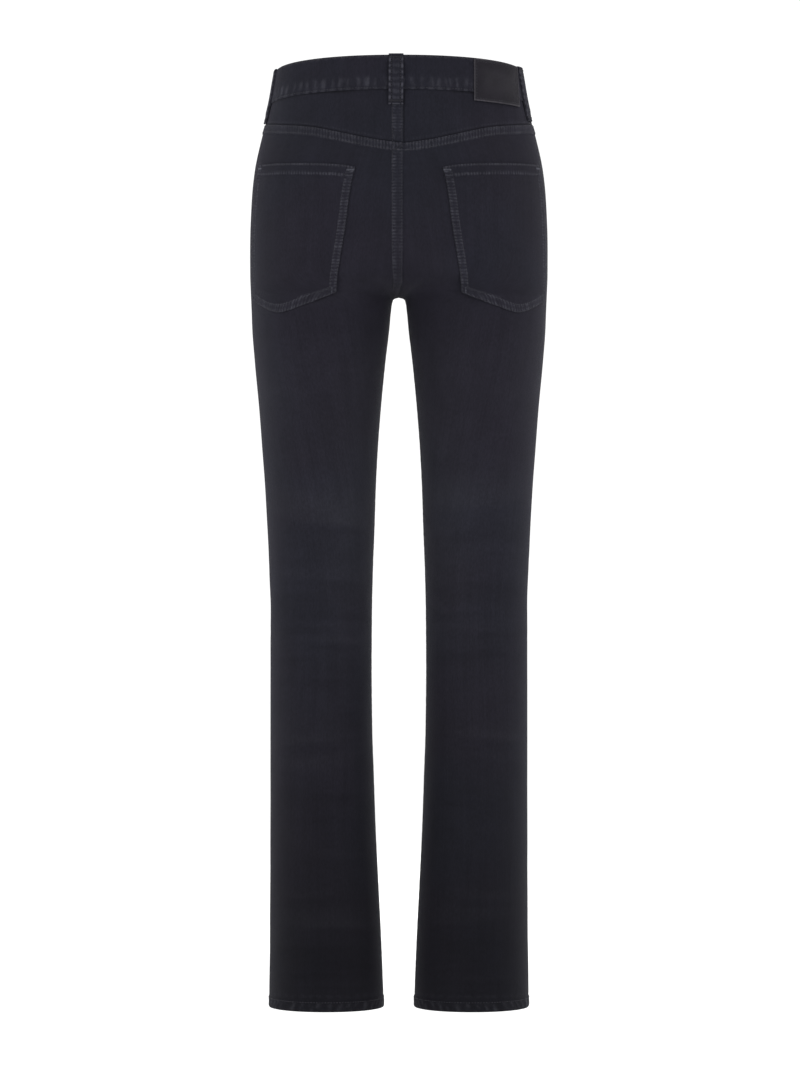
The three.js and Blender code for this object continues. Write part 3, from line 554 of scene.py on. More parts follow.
def shell(name, outer, inner, uv, wear_and_painted_shade, run, material, slot="denim", fade_and_painted_light=0.0):
    """Two grids in millimetres, closed round the edge, with a map in metres and the attributes."""
    rows, columns = outer.shape[:2]
    count = rows * columns
    points = np.concatenate([outer.reshape(-1, 3), inner.reshape(-1, 3)]) * MM
    index = np.arange(count).reshape(rows, columns)
    a, b, c, d = index[:-1, :-1], index[1:, :-1], index[1:, 1:], index[:-1, 1:]
    face = np.stack([a, b, c, d], -1).reshape(-1, 4)
    back = np.stack([a, d, c, b], -1).reshape(-1, 4) + count
    loop = np.r_[index[:, 0], index[-1, 1:], index[::-1, -1][1:], index[0, ::-1][1:]]
    first, second = loop[:-1], loop[1:]
    wall = np.stack([first, first + count, second + count, second], -1)
    quads = np.concatenate([face, back, wall])
    p = points[quads]
    signed = np.einsum("ij,ij->i", p[:, 0], np.cross(p[:, 1], p[:, 2])).sum()
    signed += np.einsum("ij,ij->i", p[:, 0], np.cross(p[:, 2], p[:, 3])).sum()
    if signed < 0:
        quads = quads[:, ::-1]
    name = name + "_cloth" if slot == "denim" else name + "_hide"
    mesh = bpy.data.meshes.new(name)
    mesh.from_pydata(points.tolist(), [], quads.tolist())
    mesh.update()
    layer = mesh.uv_layers.new(name="UVMap")
    corners = np.empty(len(mesh.loops), dtype=np.int32)
    mesh.loops.foreach_get("vertex_index", corners)
    flat_uv = np.concatenate([uv.reshape(-1, 2), uv.reshape(-1, 2)]) * MM
    layer.data.foreach_set("uv", flat_uv[corners].astype(np.float32).ravel())
    # The first attribute holds wear, with painted shade as negative values; the fade in the second is partly
    # painted light.
    paint_points(mesh, "wear_and_painted_shade", "FLOAT", "value", np.r_[wear_and_painted_shade.ravel(), 0.4 * wear_and_painted_shade.ravel()])
    paint_points(mesh, "inside", "FLOAT", "value", np.r_[np.zeros(count) + np.ravel(fade_and_painted_light), np.ones(count)])
    flat_run = np.concatenate([run.reshape(-1, 2), run.reshape(-1, 2)]) * MM
    paint_points(mesh, "run", "FLOAT_VECTOR", "vector", np.c_[flat_run, np.zeros(len(flat_run))])
    mesh.polygons.foreach_set("use_smooth", np.ones(len(mesh.polygons), dtype=bool))
    mesh.materials.append(material)
    piece = bpy.data.objects.new(name, mesh)
    bpy.context.scene.collection.objects.link(piece)
    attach(piece, "root")
    return piece


def area_of(piece):
    """Half the surface of a thin closed shell is its cloth, in square metres."""
    return sum(polygon.area for polygon in piece.data.polygons) / 2


print("shells are built in millimetres and scaled by", MM)

# %% [markdown]
# Puckers along a seam are never quite even, so two waves that don't fit each other make one
# ripple. A band says how much a point belongs to a strip beside an edge. Nearly all of the
# relief and the wear below is a ripple times a band.

# %% Ripples and bands
def wavy(t, period, phase=0.0):
    """An uneven ripple between 0 and 1, for puckers along a seam."""
    a = np.sin(2 * np.pi * t / period + 1.9 * np.sin(2 * np.pi * t / (period * 4.3) + phase) + phase)
    b = np.sin(2 * np.pi * t / (period * 2.7) + 2.1 * phase)
    return np.clip(0.5 + 0.36 * a + 0.2 * b, 0, 1)


def band(distance, low, high, soft=0.8):
    """1 between two distances from an edge, fading over a soft width."""
    return smooth((distance - low + soft / 2) / soft) * (1 - smooth((distance - high + soft / 2) / soft))


print("wavy test", [round(float(v), 2) for v in wavy(np.array([0.0, 2.5, 5.0]), 5)])

# %% [markdown]
# The seams of jeans are thick, so their sizes come first: how wide each folded band is and how
# far it stands proud. The back panels lap up over the yokes in a felled seam with two rows of
# stitches, and the left back panel laps over the right along the seat.

# %% Seam sizes
CLOTH = 1.2
HEM_Z, HEM_HEIGHT = -1007, 12
SEAT_EDGE, SEAT_WIDTH, SEAT_PROUD = 5, 13.6, 1.1
FELL_HEIGHT, FELL_PROUD = 10, 0.9
YOKE_SEAM = curve([0, 28, 51, 75, 101, 133, 185, 220],
                  [-67.5, -63.6, -58.8, -53.2, -47.9, -44.4, -40, -38.6])


def seat_edge(z):
    return SEAT_EDGE * smooth((z - CROTCH) / 16)


def yoke_edge(share):
    return YOKE_SEAM(share * float(side_at(-50)))


print("yoke seam at the centre and the side", [round(float(yoke_edge(share)), 1) for share in (0.0, 1.0)])

# %% [markdown]
# A leg panel runs from the yoke or the pocket down to the hem. Its rows follow the slanted top
# edge and level out down the leg, closer together at the crotch and the hem. A remeshed
# surface would also do, but rows that follow the cut keep the seams crisp and few in faces.

# %% Rows of a leg panel
HEM_ROWS = (-987, -989.5, -991.5, -993.2, -994.3, -995, -995.7, -996.8, -998.5, -1000.3, -1002, -1003.7,
            -1005.2, -1006.3, -1006.8, -1007)
# Each step ends at an inner and an outer height, and has a number of rows and a crowding.
LEG_STEPS = [(-193, -179, 48, 1), (CROTCH, -250, 16, -1.8), (-267, -320, 18, 1.8), (-680, -680, 112, 1),
             (-984, -984, 86, 1)]


def panel_heights(edge, lead, share):
    """Rows of heights for each column share: the lead rows, then the rows down the leg."""
    rows, kinds = [], []
    for drop in lead:
        rows.append(edge(share) - drop)
        kinds.append("open")
    inner, outer = 0, 0
    for k, (inner_end, outer_end, count, ease) in enumerate(LEG_STEPS):
        for i in range(1, count + 1):
            t = i / count
            eased = 1 - (1 - t) ** -ease if ease < 0 else t**ease
            if k == 0:
                line = mix(inner_end * t, outer_end * t, share)
                rows.append((1 - t) * (edge(share) - lead[-1]) + line)
            else:
                rows.append(mix(mix(inner, inner_end, eased), mix(outer, outer_end, t), share))
            kinds.append("crotch" if k == 1 and i == count else "open" if k < 2 else "leg")
        inner, outer = inner_end, outer_end
    for z in HEM_ROWS:
        rows.append(np.full_like(share, z))
        kinds.append("leg")
    return np.array(rows), kinds


print("rows of a panel", len(panel_heights(yoke_edge, [0.0], np.array([0.0, 1.0]))[1]))

# %% [markdown]
# The columns of a panel crowd together at its two seams, where the cloth is folded, and spread
# over the middle. Along the crotch and down the inseam the panel's edge is kept on the line
# where it meets its neighbour, and its way out is turned so that both edges stay closed.

# %% Grid of a leg panel
NOMINAL_WIDTH = 205.0
SIDE_MARKS = np.array([3.4, 1.6, 0.6, 0])
MIDDLE_SHARES = np.linspace(0, 1, 77)[1:-1]


def nominal_columns(marks):
    """Columns across a panel of the nominal width."""
    return np.r_[marks, mix(marks[-1], NOMINAL_WIDTH - SIDE_MARKS[0], MIDDLE_SHARES),
                 NOMINAL_WIDTH - SIDE_MARKS]


def spread_columns(marks, length):
    """Distance of each column from the first seam, in rows of different lengths."""
    first, last = len(marks), len(SIDE_MARKS)
    a = np.empty_like(length)
    a[:, :first] = marks
    a[:, first:-last] = mix(marks[-1], length[:, first:-last] - SIDE_MARKS[0], MIDDLE_SHARES)
    a[:, -last:] = length[:, -last:] - SIDE_MARKS
    return a


def side_normal(z, side):
    """The way out of the cloth at the side seam, the same for the two panels that meet."""
    def at(height, shift):
        return cloth(height, side_at(height) + shift, side)
    n = unit(np.cross(at(z - 2, 0) - at(z + 2, 0), at(z, 1) - at(z, -1)))
    return n * np.where(n[:, :1] * side < 0, -1, 1)


def panel_grid(side, is_back, edge, lead, marks, start_of):
    """Points, outward directions and distances of a leg panel."""
    share = nominal_columns(marks) / NOMINAL_WIDTH
    z, kinds = panel_heights(edge, lead, share)
    total = total_at(z)
    start = start_of(z)
    length = (side_at(z) if is_back else total - side_at(z)) - start
    a = spread_columns(marks, length)
    s = start + a
    points = cloth(z, s if is_back else total - s, side)
    closed = np.array([k != "open" for k in kinds])
    meet = np.interp(z[:, 0], HEIGHTS, MEET)
    first = points[:, 0, 1]
    limit = np.maximum(first, meet) if is_back else np.minimum(first, meet)
    points[:, 0, 1] = np.where(closed, limit, first)
    out = facing(points, (side * 0.3, 1 if is_back else -1, 0))
    n = np.where(closed[:, None], unit(out[:, 0] * (1, 0, 1)), unit(out[:, 0] * (0, 1, 1)))
    near = smooth(1 - np.abs(z[:, 0] - CROTCH) / 8)[:, None]
    out[:, 0] = unit(mix(n, np.array([0.0, 0.0, -1.0]), near))
    out[:, -1] = side_normal(z[:, -1], side)
    out[-1] = unit(out[-1] * (1, 1, 0))
    return points, out, z, a, length - a, s


print("columns of a panel", len(nominal_columns(np.array([0.0]))), "and its marks at the first seam")

# %% [markdown]
# Wear gathers where a seam is thick: beside the rows of stitches, on the outer edge of the seat
# seam, and on the twisted ridges of the hem, which look like a rope. A hem turns twice, and
# its layers creep past each other as it is sewn, which gives the rope its slant.

# %% Wear of the seams and the turned hem
def stitched(distance, first, second):
    """Wear across a seam with two rows of stitches, strongest beside the rows."""
    rows = np.maximum(band(distance, first - 1.6, first + 1.8, 1.6),
                      band(distance, second - 1.8, second + 1.4, 1.6))
    return np.maximum(0.95 * rows, 0.36 * band(distance, 0, second + 1, 1.2))


def strip_wear(a, z):
    """Wear of the seat seam: mostly on its outer row, and in uneven lengths."""
    outer = band(a, 9.0, 12.6, 1.6) * (0.35 + 0.6 * wavy(z, 29, 0.6))
    return np.maximum(outer, 0.42 * stitched(a, 2.2, 11.4) * (0.6 + 0.4 * wavy(z, 41, 2.0)))


def hem_profile(z, s, phase):
    """How far the turned hem stands out on each side, and how rubbed it is."""
    up = z - HEM_Z
    rope = wavy(s + 0.9 * up, 10.6, phase)
    height = band(up, -3, HEM_HEIGHT, 1.0) * (0.5 + 0.42 * (rope - 0.5) * smooth(up / 3))
    round_off = -0.75 * smooth(1 - up / 1.3)
    above = -0.3 * rope * band(up, HEM_HEIGHT + 0.2, HEM_HEIGHT + 2.6, 1.6)
    return height + round_off + above, rope


def leg_roll(z, a, b, above, phase, pull):
    """How far the cloth rolls in and puckers at the side seam and, below the crotch, the inseam."""
    side_seam = -0.55 * smooth(1 - b / 1.5) - pull * wavy(z, 9.4, phase + 2) * band(b, 1.2, 6.5, 2)
    inseam = 0.5 * smooth(1 - a / 1.6) + 0.22 * wavy(z, 8.2, phase) * band(a, 1.2, 6, 2)
    return side_seam - inseam * (1 - above)


def seam_run(across, along_top, along_side, to_top, to_side):
    """How far a point lies along its nearest seam, and how far from it."""
    return np.stack([np.where(across, along_top, along_side), np.where(across, to_top, to_side)], -1)


def panel_run(z, s, a, b, top):
    """The same for a leg panel. The pattern is drawn out at the hem and down the long seams."""
    to_end, to_side = np.minimum(top, z - HEM_Z), np.minimum(a, b)
    rope_scale = np.where(z < HEM_Z + 22, 0.33, 1.0)
    seam_scale = np.where((a < b) & (z > CROTCH), 1.0, 0.3)
    return seam_run(to_end < to_side, s * rope_scale, z * seam_scale, to_end, to_side)


print("hem from", HEM_Z, "to", HEM_Z + HEM_HEIGHT)

# %% [markdown]
# Near a felled seam the rows and columns stand at the marks that matter: the folded edge, the
# two rows of stitches and the step down to the single cloth. Where the legs part, the cloth
# bends from one wide ring to two narrow ones, so that bend is eased by averaging.

# %% Edges of the back panels
FAR = 99
STRIP_MARKS = np.array([0, 0.35, 0.9, 1.8, 3.2, 5.2, 7.2, 9.2, 10.8, 11.8, 12.6, 13.2, 13.8, 14.6, 16, 18])
FELL_LEAD = [0.15, 0.45, 1.0, 1.8, 3.2, 4.8, 6.4, 7.6, 8.4, 9.2, 9.8, 10.4, 11.2, 12.6, 14.6]


def lead_drops(lead, z):
    """How far a lead row lies below the top edge. All other rows are far from it."""
    return np.array(lead + [FAR] * (len(z) - len(lead)))[:, None] + 0 * z


def back_start(side):
    """Where a back panel starts at each height: the left one laps over the right one."""
    lap = 1.0 if side > 0 else -0.68
    return lambda z: np.where(z > CROTCH + 1e-6, -lap * seat_edge(z), 0.0)


def soften(points, z, a):
    """Rounds the bend across the cloth where the legs part, away from the crotch itself."""
    near = (smooth(1 - np.abs(z - CROTCH) / 22) * smooth((a - 16) / 24))[1:-1, :, None]
    share = ((z[1:-1] - z[2:]) / (z[:-2] - z[2:]))[..., None]
    for _ in range(40):
        even = mix(points[2:], points[:-2], share)
        points[1:-1, :, :2] = mix(points[1:-1], even, 0.6 * near)[..., :2]
    return points


print("marks at the seat seam", len(STRIP_MARKS), "rows of the felled yoke seam", len(FELL_LEAD))

# %% [markdown]
# Each back panel is then dressed: the felled bands stand out a little, the stitched edges roll
# in, and small puckers gather between the rows of stitches. The same marks give the wear, a
# paler fade down the inner thigh that is partly painted light lifting the shade between the
# legs, paler fold ridges as painted light, darker troughs as painted shade, and on the right
# panel a painted shadow beside the seat seam.

# %% Back panels
def back_panel(name, side):
    points, out, z, a, b, s = panel_grid(
        side, True, yoke_edge, FELL_LEAD, STRIP_MARKS, back_start(side))
    points = soften(points, z, a)
    lead = lead_drops(FELL_LEAD, z)
    top = np.where(lead < FAR, lead, np.maximum(z[:1] - z + FELL_LEAD[0], 15))
    above = smooth((z - CROTCH) / 3)
    phase = 0.4 if side > 0 else 2.2
    pucker = wavy(s, 5.2, phase)
    centre_pull = 0.55 + 0.45 * smooth(1 - s / 90)
    fell = FELL_PROUD * band(top, -3, FELL_HEIGHT, 0.9) * (1 - 0.35 * pucker * centre_pull)
    fell = fell - 0.45 * smooth(1 - top / 0.9)
    fell = fell - 0.28 * pucker * centre_pull * band(top, 10.4, 13.4, 1.4)
    strip_pucker = wavy(z, 6.1, phase + 1)
    strip = 0
    if side > 0:
        strip = SEAT_PROUD * band(a, -3, SEAT_WIDTH, 0.9) * above * (1 - 0.3 * strip_pucker)
        strip = strip - 0.45 * smooth(1 - a / 0.9) * above
    groove = -0.12 * (band(top, 1.4, 2.2, 0.8) + band(top, 8.0, 8.8, 0.8))
    hem, rope = hem_profile(z, s, phase)
    roll = leg_roll(z, a, b, above, phase, 0.25)
    lift = np.maximum(fell, strip) + groove * (fell > 0.2) + hem + roll
    inner = -CLOTH - 1.2 * band(z - HEM_Z, -3, HEM_HEIGHT, 0.9)
    # Positive values below are wear; the negative values set further down are painted shade.
    tone_marks = np.maximum.reduce([
        stitched(top, 1.8, 8.4) * (0.55 + 0.45 * centre_pull) * (0.7 + 0.3 * wavy(s, 23, phase)) + 0 * z,
        (strip_wear(a, z) * above if side > 0 else 0 * z),
        0.3 * band(b, 0.4, 4.2, 3), 0.3 * band(a, 0.4, 4, 3) * (1 - above),
        1.0 * rope**2 * band(z - HEM_Z, 0.2, 10.2, 2.4), 0.2 * band(z - HEM_Z, 15, 19, 3),
    ])
    # Painted shadow: the right panel is darker beside the edge of the left panel's seat strip, which laps
    # over it.
    if side < 0:
        tone_marks = np.where(a < 3.0, -0.9 * smooth((3.0 - a) / 1.4) * above, tone_marks)
    uv = np.stack([(s - side_at(z)) * side, z], -1)
    folds = fold_depth(z, s / total_at(z), side)
    # The paler fade down the inner thigh is partly painted light that lifts the shade between the legs. The
    # legs below the seat are made slightly paler, and the fold ridges are made paler as painted light.
    fade_and_painted_light = 0.24 * smooth(1 - a / 130) * smooth((CROTCH - z) / 90) * smooth((z + 700) / 220)
    fade_and_painted_light = fade_and_painted_light + 0.035 * smooth((-240 - z) / 80) + 0.12 * np.clip(-folds / 0.5, 0, 1)
    # Painted shade: the troughs of the folds are darkened.
    trough = np.clip(folds - 0.25, 0, 1) * smooth((-235 - z) / 30)
    tone_marks = np.where(tone_marks < 0.02, -0.17 * trough, tone_marks)
    piece = shell(name, points + out * lift[..., None], points + out * inner[..., None], uv, tone_marks,
                  panel_run(z, s, a, b, top), DENIM, fade_and_painted_light=fade_and_painted_light)
    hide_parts(name)
    return piece


BACK_PANELS = {side: back_panel(name, side) for side, name in ((1, "back_left"), (-1, "back_right"))}
print({p.name: (len(p.data.polygons) * 2, round(area_of(p), 4)) for p in BACK_PANELS.values()})

# %% [markdown]
# The yokes are the two wide wedges between the waistband and the leg panels. They give the
# seat its shape, so there are no darts. Their lower edge goes under the felled seam.

# %% Yokes
BAND_HEIGHT, BAND_PROUD = 38, 0.9
GAP = 0.3
TUCK = 3.5


def band_top(share):
    """Height of the top of the waistband, which is highest at the back and lowest at the front."""
    c = np.cos(np.pi * share)
    return 19 + 15.5 * c - 4.5 * c * c


def band_foot(share):
    return band_top(share) - BAND_HEIGHT


def yoke(name, side):
    share = nominal_columns(STRIP_MARKS) / NOMINAL_WIDTH
    ring_share = share * float(side_at(-20) / total_at(-20))
    down = np.r_[0, 0.02, 0.05, np.linspace(0.09, 0.9, 16), 0.94, 0.975, 1.0][:, None]
    z = mix(band_foot(ring_share) + TUCK, yoke_edge(share), down)
    start = -SEAT_EDGE if side > 0 else 0.68 * SEAT_EDGE
    length = side_at(z) - start
    a = spread_columns(STRIP_MARKS, length)
    s = start + a
    points = cloth(z, s, side)
    out = facing(points, (0, 1, 0))
    out[:, 0] = unit(out[:, 0] * (0, 1, 1))
    out[:, -1] = side_normal(z[:, -1], side)
    b = length - a
    foot = z - yoke_edge(share)
    phase = 0.4 if side > 0 else 2.2
    pucker = wavy(s, 5.2, phase)
    pull = 0.45 + 0.55 * smooth(1 - s / 90)
    lift = -0.5 * pucker * pull * band(foot, -2, 3.2, 2.5)
    lift = lift - 0.22 * wavy(s, 7.7, phase) * band(foot, 4, 9, 4)
    if side > 0:
        lift = lift + SEAT_PROUD * band(a, -3, SEAT_WIDTH, 0.9) * (1 - 0.3 * wavy(z, 6.1, 1.4))
        lift = lift - 0.45 * smooth(1 - a / 0.9)
    lift = lift - 0.55 * smooth(1 - b / 1.5)
    tone_marks = np.maximum.reduce([
        0.30 * band(foot, -2, 3.5, 3), 0.4 * band(b, 0.4, 6.2, 3),
        strip_wear(a, z) if side > 0 else 0 * z])
    # Painted shadow: the yoke is darker along its lower edge, under the felled seam, and along its top,
    # under the waistband.
    tone_marks = np.where(foot < 1.6, -0.8 * smooth((1.6 - foot) / 1.2), tone_marks)
    tucked = down * (band_foot(ring_share) + TUCK - yoke_edge(share))
    tone_marks = np.where(tucked < 5.4, -0.8 * smooth((5.4 - tucked) / 1.4), tone_marks)
    # Painted shadow beside the edge of the seat strip, on the right yoke.
    if side < 0:
        tone_marks = np.where(a < 3.0, -0.9 * smooth((3.0 - a) / 1.4), tone_marks)
    to_side = np.minimum(a, b)
    run = seam_run(foot < to_side, s, z, foot, to_side)
    piece = shell(name, points + out * lift[..., None], points - out * CLOTH, np.stack([s * side, z], -1),
                  tone_marks, run, DENIM)
    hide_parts(name)
    return piece


YOKES = {side: yoke(name, side) for side, name in ((1, "yoke_left"), (-1, "yoke_right"))}
print({p.name: round(area_of(p), 4) for p in YOKES.values()})

# %% [markdown]
# The front panels are plain, because the picture hides them, but they are finished with what
# such jeans need: a scoop for the hand pocket, the cloth seen inside it, and a fly that
# closes with the wearer's left over the right.

# %% Front panels
FLY_WIDTH, FLY_PROUD, FLY_STRAIGHT, FLY_FOOT = 36, 0.8, -118, -152
SCOOP_DEPTH, SCOOP_POWER, SCOOP_COVER = 68, 2.2, 25
SCOOP_START = mix((36 + 1.5) / 187, 1, 2 / 11)


def scoop_drop(share):
    """How far the pocket opening is cut down below the waistband."""
    t = np.clip((share - SCOOP_START) / (1 - SCOOP_START), 0, 1)
    return SCOOP_DEPTH * (1 - (1 - t) ** SCOOP_POWER)


def front_ring_share(share):
    return 1 - share * float((total_at(-30) - side_at(-30)) / total_at(-30))


def front_edge(share):
    drop = scoop_drop(share)
    return band_foot(front_ring_share(share)) + TUCK * (1 - smooth(drop / 8)) - drop


def fly_edge(z):
    """Width of the fly at a height: straight at first, then a quarter of an oval."""
    t = np.clip((FLY_STRAIGHT - z) / (FLY_STRAIGHT - FLY_FOOT), 0, 1)
    return FLY_WIDTH * np.sqrt(1 - t * t) * (z > FLY_FOOT)


FLY_MARKS = np.r_[0, 0.35, 0.9, 1.8, 3.2, np.arange(5.5, 34, 2.4), 34.6, 35.3, 35.9, 36.5, 37.3, 39]
SCOOP_LEAD = [0, 0.4, 0.9, 1.6, 2.6, 4, 5.6, 7.2, 8.2, 9.2, 10.2, 12]


def front_panel(name, side):
    points, out, z, a, b, s = panel_grid(
        side, False, front_edge, SCOOP_LEAD, FLY_MARKS, lambda z: 0 * z)
    lead = lead_drops(SCOOP_LEAD, z)
    above = smooth((z - CROTCH) / 6)
    phase = 1.3 if side > 0 else 3.1
    lift = -0.4 * smooth(1 - lead / 1.0) - 0.18 * wavy(s, 7.4, phase) * band(lead, 1, 8, 3)
    if side > 0:
        fly = smooth((fly_edge(z) - a) / 1.0 + 0.5) * (z > FLY_FOOT - 1)
        lift = lift + FLY_PROUD * fly * (1 - 0.15 * wavy(z, 8.5, 1.0)) - 0.4 * smooth(1 - a / 0.9) * fly
    hem, rope = hem_profile(z, s, phase)
    lift = lift + hem + leg_roll(z, a, b, above, phase, 0.2)
    inner = -CLOTH - 1.2 * band(z - HEM_Z, -3, HEM_HEIGHT, 0.9)
    edge = np.abs(fly_edge(z) - a)
    tone_marks = np.maximum.reduce([
        0.6 * band(lead, 0, 8.6, 2) * smooth((np.arange(z.shape[1]) / z.shape[1] - 0.25) / 0.1),
        (0.5 * (1 - smooth(edge / 5)) * (z > FLY_FOOT) if side > 0 else 0 * z),
        0.22 * band(a, 0, 3.5, 2.5) * above, 0.3 * band(b, 0.4, 4.2, 3),
        0.3 * band(a, 0.4, 4, 3) * (1 - above),
        0.75 * rope**2 * band(z - HEM_Z, 0.2, 9.8, 2.4), 0.16 * band(z - HEM_Z, 15, 19, 3)])
    uv = np.stack([(total_at(z) - s - side_at(z)) * side, z], -1)
    piece = shell(name, points + out * lift[..., None], points + out * inner[..., None], uv, tone_marks,
                  panel_run(z, s, a, b, lead), DENIM)
    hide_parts(name)
    return piece


FRONT_PANELS = {side: front_panel(name, side) for side, name in ((1, "front_left"), (-1, "front_right"))}
print({p.name: (len(p.data.polygons) * 2, round(area_of(p), 4)) for p in FRONT_PANELS.values()})

# %% [markdown]
# Four leg seams meet at one point of the crotch. A scrap of cloth is laid inside over that
# point, and it closes the small star-shaped gap between the panels. It is a slightly arched
# strip from a short formula, because it is too small to need the tables.

# %% Crotch stay
def crotch_stay(name):
    """A short strip laid inside, over the point where the four leg seams meet."""
    x, y = np.meshgrid(np.linspace(-5, 5, 13), np.linspace(-13, 13, 27))
    z = CROTCH + 1.5 + 2.8 * (y / 26) ** 2 - 0.055 * x**2
    under = np.stack([x, y, z], -1)
    piece = shell(name, under, under + np.array([0, 0, CLOTH]), np.stack([x, y], -1), 0 * x,
                  np.stack([y, x], -1), DENIM)
    return piece


STAY = crotch_stay("crotch_stay")
print("stay", round(area_of(STAY), 6))

# %% [markdown]
# A facing is the piece of denim seen inside the pocket opening. It hangs a little below the
# front panel and is tucked up under the waistband, so no light shows past its edge.

# %% Pocket facings
def pocket_facing(name, side):
    share = np.linspace(SCOOP_START - 0.07, 1, 60)[None, :]
    top = band_foot(front_ring_share(share)) + 2 * TUCK
    z = top - np.linspace(0, 1, 34)[:, None] * (scoop_drop(share) + SCOOP_COVER + 2 * TUCK)
    total = total_at(z)
    s = total - share * (total - side_at(z))
    points = cloth(z, s, side)
    out = facing(points, (side * 0.5, -1, 0))
    below = 1.5 * smooth((top - z) / 9)[..., None]
    piece = shell(name, points - out * below, points - out * (below + CLOTH),
                  np.stack([s * side, z], -1), 0 * z, np.stack([s, z], -1), DENIM)
    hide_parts(name)
    return piece


FACINGS = {side: pocket_facing(name, side)
           for side, name in ((1, "pocket_facing_left"), (-1, "pocket_facing_right"))}
print({p.name: round(area_of(p), 4) for p in FACINGS.values()})

# %% [markdown]
# The waistband is one straight strip, folded along its top and sewn on at its foot. It
# wraps round the waist, and its ends overlap at the front under the button.

# %% Waistband
UNDER = 36
HALF_WAIST = 370
BAND_ROWS = [0, 0.15, 0.45, 0.9, 1.6, 2.6, 4.2, 6.4, 9, 12, 15, 18, 21, 23.5, 26, 28.5, 31, 33, 34.6, 35.6,
             36.4, 37, 37.4, 37.75, 38]


def beside(z, s, side, out):
    """A point beside the ring, moved straight out. Past the centre front it goes on round."""
    z, s, out = np.broadcast_arrays(np.asarray(z, float), np.asarray(s, float), np.asarray(out, float))
    total = total_at(z)
    over = s > total
    wrapped = np.where(over, 2 * total - s, s)
    flip = np.where(over, -1, 1)
    x, y = on_ring(z, wrapped)
    x1, y1 = on_ring(z, np.minimum(wrapped + 1, total))
    x0, y0 = on_ring(z, np.maximum(wrapped - 1, -total))
    length = np.hypot(x1 - x0, y1 - y0) + 1e-9
    return np.stack([side * flip * (x - out * (y1 - y0) / length), y + out * (x1 - x0) / length, z], -1)


def waistband(name):
    stations = np.r_[1, 1 - 0.0012, 1 - 0.0035, np.linspace(1 - 0.007, -1, 320),
                     -1 - np.linspace(0, 1, 17)[1:] * UNDER / float(total_at(0))]
    q = stations[None, :]
    share = np.where(np.abs(q) > 1, 2 - np.abs(q), np.abs(q))
    down = np.array(BAND_ROWS)[:, None]
    z = band_top(share) - down
    total = total_at(z)
    s = np.abs(q) * total
    side = np.where(q < 0, -1, 1)
    back = smooth((-q - 0.9) / 0.1)
    base = mix(BAND_PROUD, -CLOTH - 2 * GAP, back)
    edge_in = -0.85 * np.sqrt(np.clip(1 - down / 1.2, 0, 1)) - 0.5 * smooth(1 - (BAND_HEIGHT - down) / 0.9)
    along = q * HALF_WAIST
    puckers = -0.42 * wavy(along, 9.3, 0.8) * band(down, 25, 35.6, 6)
    puckers = puckers - 0.12 * wavy(along, 23, 2) * band(down, 6, 24, 8)
    groove = -0.14 * (band(down, 1.2, 2.2, 1) + band(down, 35.2, 36.4, 1))
    ends = -0.5 * smooth(1 - np.abs(1 - q) * HALF_WAIST / 1.2) * (q > 0)
    belly = 0.25 * band(down, 4, 34, 8)
    outer_out = base + edge_in + puckers + groove + ends + belly * (1 - back)
    outer = np.where((side > 0)[..., None], beside(z, s, 1, outer_out), beside(z, s, -1, outer_out))
    inner_out = base - BAND_PROUD - CLOTH + 0.7 * np.sqrt(np.clip(1 - down / 1.2, 0, 1)) * (down < 1.2)
    inner = np.where((side > 0)[..., None], beside(z, s, 1, inner_out), beside(z, s, -1, inner_out))
    tone_marks = np.maximum(0.58 * band(down, 24.5, 34.5, 5) * wavy(along, 9.3, 0.8 + np.pi / 2),
                      0.25 * band(down, 0, 3, 2)) + 0 * q
    tone_marks = np.maximum(tone_marks, 0.4 * band(down, 35.4, 38.5, 1))
    run = np.stack([0.36 * along + 0 * z, 0.36 * down + 0 * z], -1)
    uv = np.stack([s * side, z], -1)
    piece = shell(name, outer, inner, uv, tone_marks, run, DENIM)
    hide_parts(name)
    return piece


WAISTBAND = waistband("waistband")
print("waistband", len(WAISTBAND.data.polygons) * 2, round(area_of(WAISTBAND), 4))

# %% [markdown]
# A back pocket is a patch of cloth with its edges turned under, sewn on by two rows of
# stitches. Between them the cloth gathers into small bumps that wear pale, and the top
# edge is a wide hem. Its surface is laid on the same body as the panel below it.

# %% Back pockets
POCKET_IN, POCKET_OUT, POCKET_HEM, POCKET_THICK, POCKET_PROUD = 183, 48, 12.3, 1.3, 0.6
POCKET_TOP = curve([0, 0.12, 0.25, 0.64, 1], [-94, -91.1, -89.6, -87.1, -85.8])
POCKET_FOOT = curve([0, 0.16, 0.33, 0.47, 0.55, 0.63, 0.76, 1],
                    [-228.5, -236, -242.6, -247.9, -249.4, -247.9, -243, -234])
POCKET_WIDTH, POCKET_TALL, POCKET_SLANT = 135.0, 150.0, 0.95
EDGE_MARKS = np.array([0, 0.3, 0.8, 1.6, 2.8, 4.2, 5.6, 7.0, 8.0, 8.8, 9.8, 11.2, 13])
TOP_HEM_MARKS = np.array([0, 0.3, 0.8, 1.6, 3, 5, 7, 9, 10.4, 11.2, 11.9, 12.5, 13.2, 14.4])


def pocket_place(u, v):
    """Height and distance round for a point of the pocket, u across from the inner edge, v down."""
    z = mix(POCKET_TOP(u), POCKET_FOOT(u), v)
    inner = POCKET_IN - 6 * v**4
    outer = POCKET_OUT - 3 * np.sin(np.pi * np.minimum(1, v * 1.3)) + 2 * v
    return z, side_at(z) - mix(inner, outer, u)


